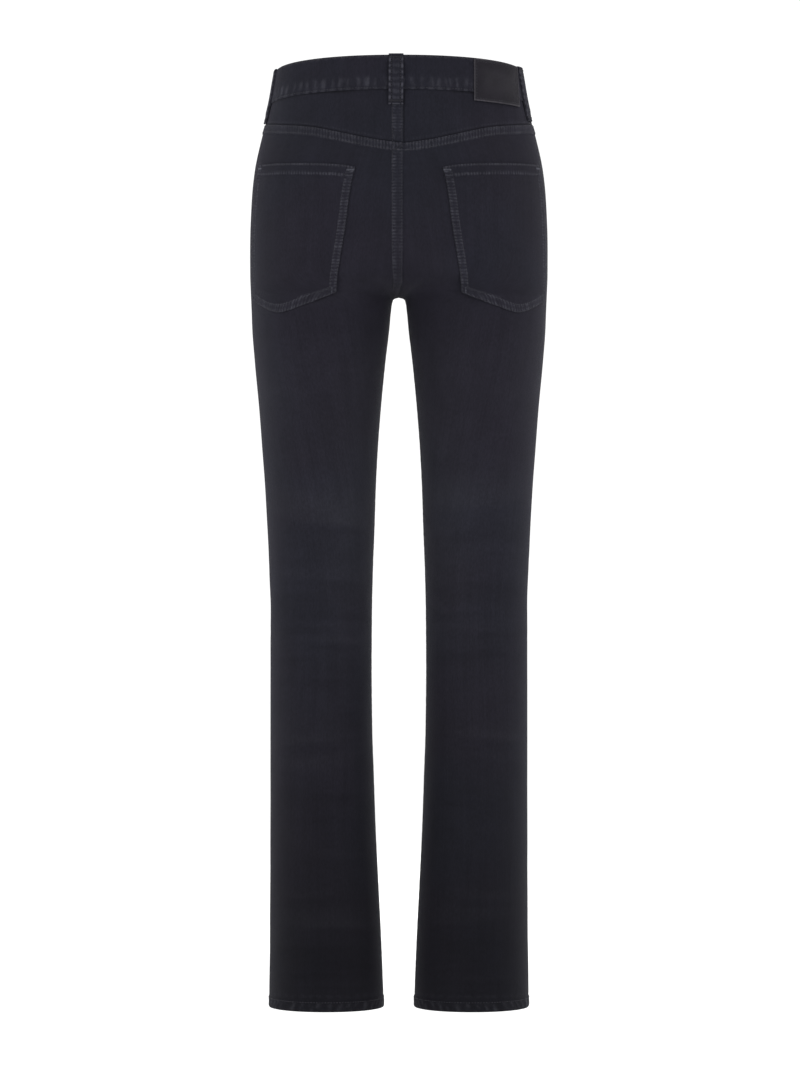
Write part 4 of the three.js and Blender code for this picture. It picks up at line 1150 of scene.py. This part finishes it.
def back_pocket(name, side):
    width, tall = POCKET_WIDTH, POCKET_TALL
    u = np.r_[EDGE_MARKS, np.linspace(15.3, width - 15.3, 45), width - EDGE_MARKS[::-1]] / width
    v = np.r_[TOP_HEM_MARKS, np.linspace(16.6, tall - 15.2, 52), tall - EDGE_MARKS[::-1]] / tall
    u, v = np.meshgrid(u, v)
    z, s = pocket_place(u, v)
    points = cloth(z, s, side)
    out = facing(points, (0, 1, 0))
    left, right = u * width, (1 - u) * width
    to_side, height = np.minimum(left, right), POCKET_TOP(u) - POCKET_FOOT(u)
    top, foot = v * height, (1 - v) * height * POCKET_SLANT
    rim = np.minimum(to_side, foot)
    phase = 0.9 if side > 0 else 2.6
    along = np.where(foot < to_side, s, z)
    bumps = wavy(along, 8.2, phase)
    lift = 0.2 + POCKET_THICK + 0 * z
    lift = lift + 0.55 * smooth(rim / 26) * smooth(top / 20)
    lift = lift + POCKET_PROUD * band(top, -3, POCKET_HEM, 0.9) * (1 - 0.25 * wavy(s, 8.5, phase + 1))
    lift = lift - 0.7 * smooth(1 - rim / 1.1) - 0.5 * smooth(1 - top / 0.9)
    lift = lift + (0.30 * bumps - 0.10) * band(rim, 2.2, 8.2, 2)
    lift = lift - 0.16 * (band(rim, 1.2, 2.2, 1) + band(rim, 8.0, 9.0, 1))
    lift = lift - 0.2 * wavy(s, 8.5, phase + 1) * band(top, POCKET_HEM + 0.3, POCKET_HEM + 3, 1.8)
    tone_marks = np.maximum.reduce([
        stitched(rim, 1.7, 8.5) * (0.35 + 0.65 * bumps), 0.8 * band(top, 0, 2.6, 1) + 0 * z,
        0.65 * band(top, 9.6, 12.4, 1.2) + 0 * z, 0.3 * smooth(1 - rim / 1.6)])
    # Painted shade: a dark line just below the hem and another just inside the inner row of stitches.
    tone_marks = np.where((top > 12.6) & (top < 14.2) & (rim > 1), -0.6, tone_marks)
    tone_marks = np.where((rim > 9.6) & (rim < 11), np.minimum(tone_marks, -0.3), tone_marks)
    corner = np.hypot(left - 4, top - 5)
    tone_marks = np.maximum(tone_marks, 0.9 * smooth(1 - corner / 7))
    to_end = np.minimum(top, foot)
    run = seam_run(to_end < to_side, s, z, to_end, to_side)
    # Painted shadow: a dark line round the edge of the pocket.
    tone_marks = np.where(rim < 0.75, -0.7, tone_marks)
    piece = shell(name, points + out * lift[..., None], points + out * 0.1, np.stack([s * side, z], -1),
                  tone_marks, run, DENIM)
    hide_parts(name)
    return piece


POCKETS = {side: back_pocket(name, side)
           for side, name in ((1, "back_pocket_left"), (-1, "back_pocket_right"))}
print({p.name: round(area_of(p), 4) for p in POCKETS.values()})

# %% [markdown]
# A belt loop is a narrow strip, folded in three and pressed, with a stitched ridge down each
# side. It is sewn flat at both ends and stands off the band between them for the belt.

# %% Belt loops
LOOP_WIDTH, LOOP_THICK = 16, 1.9
LOOP_COLUMNS = [0, 0.25, 0.7, 1.4, 2.2, 3.1, 4.4, 6, 8, 10, 11.6, 12.9, 13.8, 14.6, 15.3, 15.75, 16]
# Each loop has its share of the way round, its side, its reach below the band and its foot's lift.
LOOPS = [
    ("belt_loop_centre", 0.0084, 1, 17, 1.6), ("belt_loop_side_left", 0.472, 1, 20.5, 0.6),
    ("belt_loop_side_right", 0.436, -1, 20.5, 0.6), ("belt_loop_front_left", 0.81, 1, 16, 0.6),
    ("belt_loop_front_right", 0.81, -1, 16, 0.6),
]


def loop_path(share, below, lift):
    """Top and end of a loop, and how far off the band it runs between them."""
    top, foot = float(band_top(share)) + 1.2, float(band_foot(share))
    end = foot - below
    z = [top, top - 6.5, top - 10.5, mix(top, foot, 0.6), foot + 1, mix(foot, end + 7, 0.6), end + 7, end]
    stand = 1.0 if lift > 1 else 0.1
    off = [1.0, 1.05, 1.0 + 2 * stand, 1.0 + 2.9 * stand, 1.0 + 2.4 * stand, 0.6 + lift * 0.9, lift, lift]
    return top, end, curve([top - v for v in z], off)


def belt_loop(name, share, side, below, lift):
    top, end, off = loop_path(share, below, lift)
    tall = top - end
    down = np.r_[0, 0.25, 0.7, 1.4, np.linspace(2.4, tall - 2.4, 40),
                 tall - 1.4, tall - 0.7, tall - 0.25, tall][:, None]
    x = np.array(LOOP_COLUMNS)[None, :]
    z = top - down + 0 * x
    s = share * total_at(z) + x - LOOP_WIDTH / 2
    rim = np.minimum(x, LOOP_WIDTH - x)
    tip = np.minimum(down, tall - down)
    ripple = wavy(down, 5.4, share * 20)
    swell = LOOP_THICK - 0.9 * smooth(1 - rim / 1.0) - 0.5 * smooth(1 - tip / 1.0)
    swell = swell - 0.30 * band(rim, 2.6, 3.7, 1.1) - 0.22 * smooth((rim - 3.4) / 2.5)
    swell = swell + 0.14 * (ripple - 0.5) * band(rim, 0.8, 3.2, 1)
    swell = swell - 0.35 * band(tip, 2.5, 5.5, 1.5)
    outer = beside(z, s, side, off(down) + swell)
    under = 0.3 if 0.4 < share < 0.5 else 1.0
    inner = beside(z, s, side, under * off(down) + 0.25 * smooth(1 - rim / 1.0))
    tone_marks = np.maximum(1.3 * band(rim, 0.3, 2.4, 1), 0.34 + 0 * z) * (0.8 + 0.2 * ripple)
    tone_marks = np.where(tall - down < 1.3, 2.2, tone_marks)
    # Painted shade in the grooves beside the stitched ridges and near both ends.
    tone_marks = np.where((rim > 2.7) & (rim < 3.8), -0.5, tone_marks)
    tone_marks = np.where((tip > 2.2) & (tip < 4.6), np.minimum(tone_marks, -0.2), tone_marks)
    run = np.stack([0.5 * z, 0.5 * x + 0 * z], -1)
    piece = shell(name, outer, inner, np.stack([s * side, z], -1), tone_marks, run, DENIM)
    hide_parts(name)
    return piece


BELT_LOOPS = [belt_loop(*loop) for loop in LOOPS]
print("loops", [round(area_of(p), 5) for p in BELT_LOOPS])

# %% [markdown]
# The patch is a plain piece of leather, sewn on over the waistband. Its cut edges are paler
# and a little crushed by the stitches, and it swells slightly between them.

# %% Leather patch
PATCH_START, PATCH_END, PATCH_WIDTH, PATCH_TALL = 82.5, 146.4, 63.9, 47.0
PATCH_FOOT_START, PATCH_FOOT_END, PATCH_DOWN = -19.3, -22.8, 0.9


def patch_place(t, v):
    """Height and distance round for a point of the patch, t across and v down."""
    s = mix(PATCH_START, PATCH_END, t) + 0 * v
    top = band_top(s / 360) - PATCH_DOWN
    return mix(top, mix(PATCH_FOOT_START, PATCH_FOOT_END, t), v), s


def leather_patch(name):
    t = np.r_[0, 0.004, 0.012, 0.025, np.linspace(0.045, 0.955, 40), 0.975, 0.988, 0.996, 1][None, :]
    v = np.r_[0, 0.006, 0.018, 0.04, np.linspace(0.07, 0.93, 26), 0.96, 0.982, 0.994, 1][:, None]
    z, s = patch_place(t, v)
    left, right = t * PATCH_WIDTH + 0 * v, (1 - t) * PATCH_WIDTH + 0 * v
    up, low = v * PATCH_TALL + 0 * t, (1 - v) * PATCH_TALL + 0 * t
    rim = np.minimum(np.minimum(left, right), np.minimum(up, low))
    lift = 1.25 + 1.6 - 0.45 * smooth(1 - rim / 0.9) - 0.28 * band(rim, 2.4, 3.6, 1.2)
    lift = lift + 0.5 * smooth((rim - 4) / 10) * (0.8 + 0.3 * np.sin(t * 9 + v * 4))
    lift = lift - 0.15 * wavy(left + up, 11, 1.0) * band(rim, 3, 9, 4)
    tone_marks = np.maximum(0.75 * smooth(1 - rim / 2.0), 0.12 * smooth((rim - 6) / 12))
    tone_marks = np.maximum(tone_marks, 0.85 * smooth(1 - np.minimum(right, low) / 2.4))
    piece = shell(name, beside(z, s, -1, lift), beside(z, s, -1, 1.15), np.stack([s, z], -1), tone_marks,
                  np.stack([s, z], -1), LEATHER, "leather")
    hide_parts(name)
    return piece


PATCH = leather_patch("leather_patch")
print("patch", len(PATCH.data.polygons) * 2)

# %% [markdown]
# The thread is the same dark tone as the cloth, so the stitches show as small raised dashes.
# One stitch is a small pod pinched at both ends. A row of them could be an array modifier
# on a curve, but many rows turn corners, so each stitch is set at its own place.

# %% Stitches
POD_SECTION = ((-0.5, 0.15), (0, 1), (0.5, 0.15), (0, -0.6))
POD = np.array([[-0.5, 0, 0.1]] + [[x, y, h] for x in (-0.3, 0.3) for y, h in POD_SECTION]
               + [[0.5, 0, 0.1]])
POD_FACES = ([[0, 1 + k, 1 + (k + 1) % 4] for k in range(4)]
             + [[1 + k, 5 + k, 5 + (k + 1) % 4, 1 + (k + 1) % 4] for k in range(4)]
             + [[9, 5 + (k + 1) % 4, 5 + k] for k in range(4)])


def skin(z, s, side, lift):
    """A point above the cloth, and the way out of it there."""
    here = cloth(z, s, side)
    round_way = cloth(z, s + 0.6, side) - cloth(z, s - 0.6, side)
    down_way = cloth(z - 1, s, side) - cloth(z + 1, s, side)
    n = unit(np.cross(round_way, down_way) * side)
    return here + n * np.asarray(lift)[..., None], n


print("one stitch has", len(POD), "points and", len(POD_FACES), "faces")

# %% [markdown]
# A row measures the length of its line, sets the stitches evenly along it and turns each one
# to follow the line and lie flat on the cloth. All stitches of an area become one mesh.

# %% Rows and tacks
TACK_PITCH = 0.75


class Thread:
    """Collects stitches and makes them one piece."""

    def __init__(self):
        self.points, self.faces = [], []

    def stitch(self, at, along, out, length, width, height):
        """Adds one pod."""
        side_way = np.cross(out, along)
        base = 10 * len(self.points)
        self.points.append(at + POD[:, :1] * length * along + POD[:, 1:2] * width * side_way
                           + POD[:, 2:] * height * out)
        self.faces += [[base + k for k in face] for face in POD_FACES]

    def row(self, points, normals, pitch=3.1, length=2.45, width=0.62, height=0.34):
        """Sets pods evenly along a line of points, and none where the line jumps."""
        def look(table, where):
            return np.stack([np.interp(where, step, table[:, k]) for k in range(3)], -1)
        step = np.r_[0, np.cumsum(np.linalg.norm(np.diff(points, axis=0), axis=1))]
        count = max(1, int(step[-1] / pitch))
        middle = (np.arange(count) + 0.5) * step[-1] / count
        jump = np.diff(step) > 4 * np.median(np.diff(step)) + 0.5
        middle = middle[~jump[np.clip(np.searchsorted(step, middle) - 1, 0, len(jump) - 1)]]
        spot = look(points, middle)
        out = unit(look(normals, middle))
        along = unit(look(points, middle + 0.5) - look(points, middle - 0.5))
        out = unit(out - along * np.einsum("ij,ij->i", out, along)[:, None])
        for k in range(len(middle)):
            self.stitch(spot[k], along[k], out[k], length, width, height)

    def make(self, name, material=None):
        """Joins all pods into one mesh."""
        points = np.concatenate(self.points) * MM
        mesh = bpy.data.meshes.new(name)
        mesh.from_pydata(points.tolist(), [], self.faces)
        mesh.polygons.foreach_set("use_smooth", np.ones(len(mesh.polygons), dtype=bool))
        mesh.materials.append(material or THREAD)
        piece = bpy.data.objects.new(name, mesh)
        bpy.context.scene.collection.objects.link(piece)
        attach(piece, "root")
        return piece


def bar_tack(thread, z, s, side, lift, long, wide):
    """A short dense bar of stitches that locks a corner."""
    count = int(long / TACK_PITCH)
    for k in range(count):
        at = np.array([s + ((k + 0.5) / count - 0.5) * long])
        p, n = skin(np.array([z]), at, side, np.array([lift]))
        q, _ = skin(np.array([z + 1]), at, side, np.array([lift]))
        thread.stitch(p[0], unit(q - p)[0], n[0], wide, 0.62, 0.42)


print("stitches in 9 mm of a tack", int(9 / TACK_PITCH))

# %% [markdown]
# The back has two rows on each felled yoke seam and two down the seat. They are laid on the
# left side, which is the one on top, and keep the same distances as the worn bands.

# %% Stitch rows of the back
BACK_THREAD = Thread()
for side in (1, -1):
    share = np.linspace(0.0, 1.0, 260)
    first = -5.0 if side > 0 else 5.0
    for drop in (1.8, 8.4):
        z = yoke_edge(share) - drop
        s = mix(first + 1.0, side_at(z) - 1.2, share)
        BACK_THREAD.row(*skin(z, s, side, FELL_PROUD - 0.12 + 0 * z))
for offset in (1.8, 11.8):
    z = np.linspace(float(band_foot(0)) - 1.5, CROTCH + 5, 160)
    s = 0.1 - seat_edge(z) + offset
    BACK_THREAD.row(*skin(z, s, 1, SEAT_PROUD - 0.15 + 0 * z))
STITCHES_BACK = BACK_THREAD.make("stitches_back")
print("back", len(STITCHES_BACK.data.polygons))

# %% [markdown]
# A pocket is sewn down one side, along its pointed foot and up the other side, twice, and its
# hem has two rows across. Short dense bars, rubbed paler, lock the corners of the opening and
# the inner corner of the foot.

# %% Stitch rows of the pockets
POCKET_THREAD, TACK_THREAD = Thread(), Thread()
for side in (1, -1):
    for inset in (1.7, 8.5):
        cut, high = inset / POCKET_WIDTH, inset / POCKET_SLANT
        tall_in = float(POCKET_TOP(cut) - POCKET_FOOT(cut))
        tall_out = float(POCKET_TOP(1 - cut) - POCKET_FOOT(1 - cut))
        down = np.linspace(0.008, 1 - high / tall_in, 120)
        z1, s1 = pocket_place(cut + 0 * down, down)
        u = np.linspace(cut, 1 - cut, 120)
        z2, s2 = pocket_place(u, 1 - high / (POCKET_TOP(u) - POCKET_FOOT(u)))
        up = np.linspace(1 - high / tall_out, 0.008, 120)
        z3, s3 = pocket_place(1 - cut + 0 * up, up)
        for z, s in ((z1, s1), (z2, s2), (z3, s3)):
            POCKET_THREAD.row(*skin(z, s, side, 0.2 + POCKET_THICK - 0.05 + 0 * z))
    for drop in (1.7, 10.8):
        u = np.linspace(0.012, 0.988, 120)
        z, s = pocket_place(u, drop / POCKET_TALL + 0 * u)
        POCKET_THREAD.row(*skin(z, s, side, 0.2 + POCKET_THICK + POCKET_PROUD - 0.12 + 0 * z))
    for u, v in ((0.035, 0.03), (0.965, 0.03)):
        z, s = pocket_place(np.array(u), np.array(v))
        bar_tack(TACK_THREAD, float(z), float(s), side, 1.95, 8.5, 2.2)
    for v in np.linspace(0.942, 0.984, 8):
        z, s = pocket_place(np.array([0.045, 0.055]), np.array([v, v]))
        p, n = skin(z, s, side, np.array([1.35, 1.35]))
        TACK_THREAD.stitch(p[0], unit(p[1] - p[0]), n[0], 1.6, 0.62, 0.42)
STITCHES_POCKETS = POCKET_THREAD.make("stitches_pockets")
POCKET_TACKS = TACK_THREAD.make("pocket_tacks", RUBBED_THREAD)
print("pockets", len(STITCHES_POCKETS.data.polygons), "tacks", len(POCKET_TACKS.data.polygons))

# %% [markdown]
# The band is sewn along its top, its foot and its front end. Each loop has a row down both
# ridges and a bar at its two ends, and the patch is sewn round its edge.

# %% Stitch rows of the band, the loops and the patch
BAND_THREAD = Thread()


def band_points(q, down, extra):
    """Points on the face of the waistband, and the way out of it."""
    share = np.abs(q)
    z = band_top(share) - down
    total = total_at(z)
    s = share * total
    back = smooth((-q - 0.9) / 0.1)
    out = mix(BAND_PROUD, -CLOTH - 2 * GAP, back) + extra
    side = np.where(q < 0, -1, 1)[:, None]
    left, right = beside(z, s, 1, out), beside(z, s, -1, out)
    left1, right1 = beside(z, s, 1, out + 1), beside(z, s, -1, out + 1)
    p = np.where(side > 0, left, right)
    return p, unit(np.where(side > 0, left1, right1) - p)


for down in (1.8, 36.0):
    BAND_THREAD.row(*band_points(np.linspace(0.993, -1, 900), down, 0.02), pitch=3.2)
END_ROW = 2.5
down = np.linspace(2.2, 35.6, 40)
BAND_THREAD.row(*band_points(1 - END_ROW / HALF_WAIST + 0 * down, down, 0.1))
for name, share, side, below, lift in LOOPS:
    top, end, off = loop_path(share, below, lift)
    down = np.linspace(1.2, top - end - 1.2, 60)
    z = top - down
    for x in (-4.9, 4.9):
        s = share * total_at(z) + x
        p = beside(z, s, side, off(down) + LOOP_THICK - 0.30)
        q = beside(z, s, side, off(down) + LOOP_THICK + 0.7)
        BAND_THREAD.row(p, unit(q - p), pitch=2.8, length=2.2)
    for spot in (3.8, top - end - 3.8):
        for k in range(16):
            s = share * float(total_at(top - spot)) - 7.2 + 14.4 * k / 15
            at = float(off(np.array(spot))) + LOOP_THICK - 0.42
            p = beside(top - spot, s, side, at)
            q = beside(top - spot, s, side, at + 1)
            BAND_THREAD.stitch(p, np.array([0.0, 0.0, 1.0]), unit(q - p), 2.6, 0.8, 0.5)
left, top = 3.0 / 66.3, 0.064
right, foot = 1 - left, 1 - top
across = np.r_[np.linspace(left, right, 60), np.full(40, right),
               np.linspace(right, left, 60), np.full(40, left)]
down = np.r_[np.full(60, top), np.linspace(top, foot, 40), np.full(60, foot), np.linspace(foot, top, 40)]
z, s = patch_place(across, down)
p = beside(z, s, -1, 2.55)
BAND_THREAD.row(p, unit(beside(z, s, -1, 3.55) - p), pitch=3.4)
STITCHES_BAND = BAND_THREAD.make("stitches_band")
print("band, loops and patch", len(STITCHES_BAND.data.polygons))

# %% [markdown]
# One row holds each hem. At the front, two rows follow each pocket opening and two follow the
# curve of the fly, and one short row runs on below the fly to the crotch.

# %% Stitch rows of the hems and the front
FRONT_THREAD = Thread()
for side in (1, -1):
    z = HEM_Z + 10.4
    total, seam = float(total_at(z)), float(side_at(z))
    for a, b in ((0.9, seam - 0.9), (seam + 0.9, total - 0.9)):
        s = np.linspace(a, b, 200)
        FRONT_THREAD.row(*skin(z + 0 * s, s, side, 0.42 + 0 * s))
    share = np.linspace(SCOOP_START - 0.02, 0.992, 120)
    for drop in (1.7, 7.6):
        z = front_edge(share) - drop
        s = total_at(z) - share * (total_at(z) - side_at(z))
        FRONT_THREAD.row(*skin(z, s, side, -0.08 + 0 * s))
for inset in (1.6, 7.4):
    straight = np.linspace(float(band_foot(0.97)) - 2, FLY_STRAIGHT, 60)
    turn = np.linspace(0, math.pi / 2 - 0.05, 60)
    z = np.r_[straight, FLY_STRAIGHT - (FLY_STRAIGHT - FLY_FOOT - inset) * np.sin(turn)]
    a = np.r_[np.full(60, FLY_WIDTH - inset), (FLY_WIDTH - inset) * np.cos(turn)]
    FRONT_THREAD.row(*skin(z, total_at(z) - a, 1, FLY_PROUD - 0.12 + 0 * z))
z = np.linspace(FLY_FOOT + 3, CROTCH + 6, 40)
FRONT_THREAD.row(*skin(z, total_at(z) - 2.2, 1, -0.1 + 0 * z))
STITCHES_FRONT = FRONT_THREAD.make("stitches_front")
print("hems and front", len(STITCHES_FRONT.data.polygons))

# %% [markdown]
# The shank button closes the band at the front. It is modelled as by hand: a disc is added,
# its face inset and pressed in, its rim raised and rounded, and it is then laid on the band.

# %% Shank button
BUTTON_RADIUS, BUTTON_THICK, BUTTON_STAND = 8.5, 1.6, 2.8
BUTTON_BESIDE, BUTTON_DOWN = 14, 19


def button(name):
    bpy.ops.object.select_all(action="DESELECT")
    bpy.ops.mesh.primitive_cylinder_add(vertices=48, radius=BUTTON_RADIUS * MM, depth=BUTTON_THICK * MM,
                                        location=(0, 0, BUTTON_STAND * MM))
    piece = bpy.context.active_object
    piece.name = name + "_metal"
    piece.data.name = name + "_metal"
    bpy.ops.object.mode_set(mode="EDIT")
    bpy.ops.mesh.select_mode(type="FACE")

    def take(test):
        bpy.ops.mesh.select_all(action="DESELECT")
        bpy.ops.object.mode_set(mode="OBJECT")
        for polygon in piece.data.polygons:
            polygon.select = test(polygon)
        bpy.ops.object.mode_set(mode="EDIT")
    take(lambda f: f.normal.z > 0.9)
    bpy.ops.mesh.inset(thickness=1.7 * MM)
    bpy.ops.mesh.extrude_region_move(TRANSFORM_OT_translate={"value": (0, 0, -0.55 * MM)})
    bpy.ops.mesh.inset(thickness=0.5 * MM)
    bpy.ops.mesh.inset(thickness=3.6 * MM)
    bpy.ops.mesh.extrude_region_move(TRANSFORM_OT_translate={"value": (0, 0, 0.5 * MM)})
    bpy.ops.mesh.inset(thickness=0.7 * MM)
    take(lambda f: f.normal.z < -0.9)
    bpy.ops.mesh.inset(thickness=5.0 * MM)
    bpy.ops.mesh.extrude_region_move(TRANSFORM_OT_translate={"value": (0, 0, -1.7 * MM)})
    bpy.ops.mesh.select_all(action="SELECT")
    bpy.ops.mesh.normals_make_consistent(inside=False)
    bpy.ops.object.mode_set(mode="OBJECT")
    bevel = piece.modifiers.new("round", "BEVEL")
    bevel.width = 0.2 * MM
    bevel.segments = 2
    bevel.limit_method = "ANGLE"
    bevel.angle_limit = math.radians(25)
    bpy.ops.object.modifier_apply(modifier="round")
    bpy.ops.object.shade_smooth()
    z = float(band_top(1)) - BUTTON_DOWN

    def on_band(step, lift):
        return beside(z + step, float(total_at(z + step)) - BUTTON_BESIDE, 1, lift)
    at = on_band(0, BAND_PROUD + 0.1)
    out = unit(on_band(0, BAND_PROUD + 1.1) - at)
    up = unit(on_band(8, BAND_PROUD) - on_band(-8, BAND_PROUD))
    out = unit(out - up * np.dot(out, up))
    right = np.cross(up, out)
    piece.matrix_world = Matrix([[right[i], up[i], out[i], at[i] * MM] for i in range(3)] + [[0, 0, 0, 1]])
    bpy.ops.object.transform_apply(location=True, rotation=True, scale=True)
    piece.data.materials.clear()
    piece.data.materials.append(METAL)
    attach(piece, "root")
    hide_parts(name)
    return piece


BUTTON = button("button")
print("button", len(BUTTON.data.polygons))

# %% [markdown]
# Every piece of cloth is cut from the roll a little larger than what shows, because the seams
# turn some cloth under. Here the pieces are only counted.

# %% Count of cut pieces
print("cut", 2 * 5 + 1 + len(BELT_LOOPS), "sheets, besides the stay")

# %% [markdown]
# The jeans hang in a white studio, with a pale floor a little below the hems. The light comes
# from all round. Two broad lamps light the back from the left and the right, which gives the
# soft paler strips along the legs. One lights the front, and a weak one stands at each side.

# %% Studio
FLOOR_HEIGHT = -1.095
bpy.ops.object.select_all(action="DESELECT")
bpy.ops.mesh.primitive_circle_add(vertices=96, radius=14, fill_type="NGON", location=(0, 0, FLOOR_HEIGHT))
floor = bpy.context.active_object
floor.name = "floor"
bpy.ops.object.transform_apply(location=True, rotation=True, scale=True)
paint, shader, *_ = nodes_of("pale_floor")
shader.inputs["Base Color"].default_value = (0.96, 0.96, 0.96, 1)
shader.inputs["Roughness"].default_value = 0.9
shader.inputs["Specular IOR Level"].default_value = 0.1
floor.data.materials.append(paint)

world = bpy.data.worlds.new("studio")
world.use_nodes = True
background = world.node_tree.nodes["Background"]
background.inputs["Color"].default_value = (1, 1, 1, 1)
background.inputs["Strength"].default_value = 1.08
bpy.context.scene.world = world
bpy.context.scene.view_settings.view_transform = "Standard"


def lamp(name, place, aim, size, power):
    data = bpy.data.lights.new(name, "AREA")
    data.shape = "DISK"
    data.size = size
    data.energy = power
    light = bpy.data.objects.new(name, data)
    light.location = place
    light.rotation_euler = (Vector(aim) - Vector(place)).to_track_quat("-Z", "Y").to_euler()
    bpy.context.scene.collection.objects.link(light)
    return light


LAMPS = [
    lamp("key_left", (2.4, 2.9, -0.2), (0, 0, -0.5), 1.6, 34),
    lamp("key_right", (-2.4, 2.9, -0.2), (0, 0, -0.5), 1.6, 34),
    lamp("front", (-0.6, -3.4, 0.4), (0, 0, -0.5), 1.6, 26),
    lamp("left", (2.8, -0.5, 0.0), (0, 0, -0.4), 1.0, 10),
    lamp("right", (-2.8, -0.5, 0.0), (0, 0, -0.4), 1.0, 10),
]
print("lamps", [(light.name, light.data.energy) for light in LAMPS])
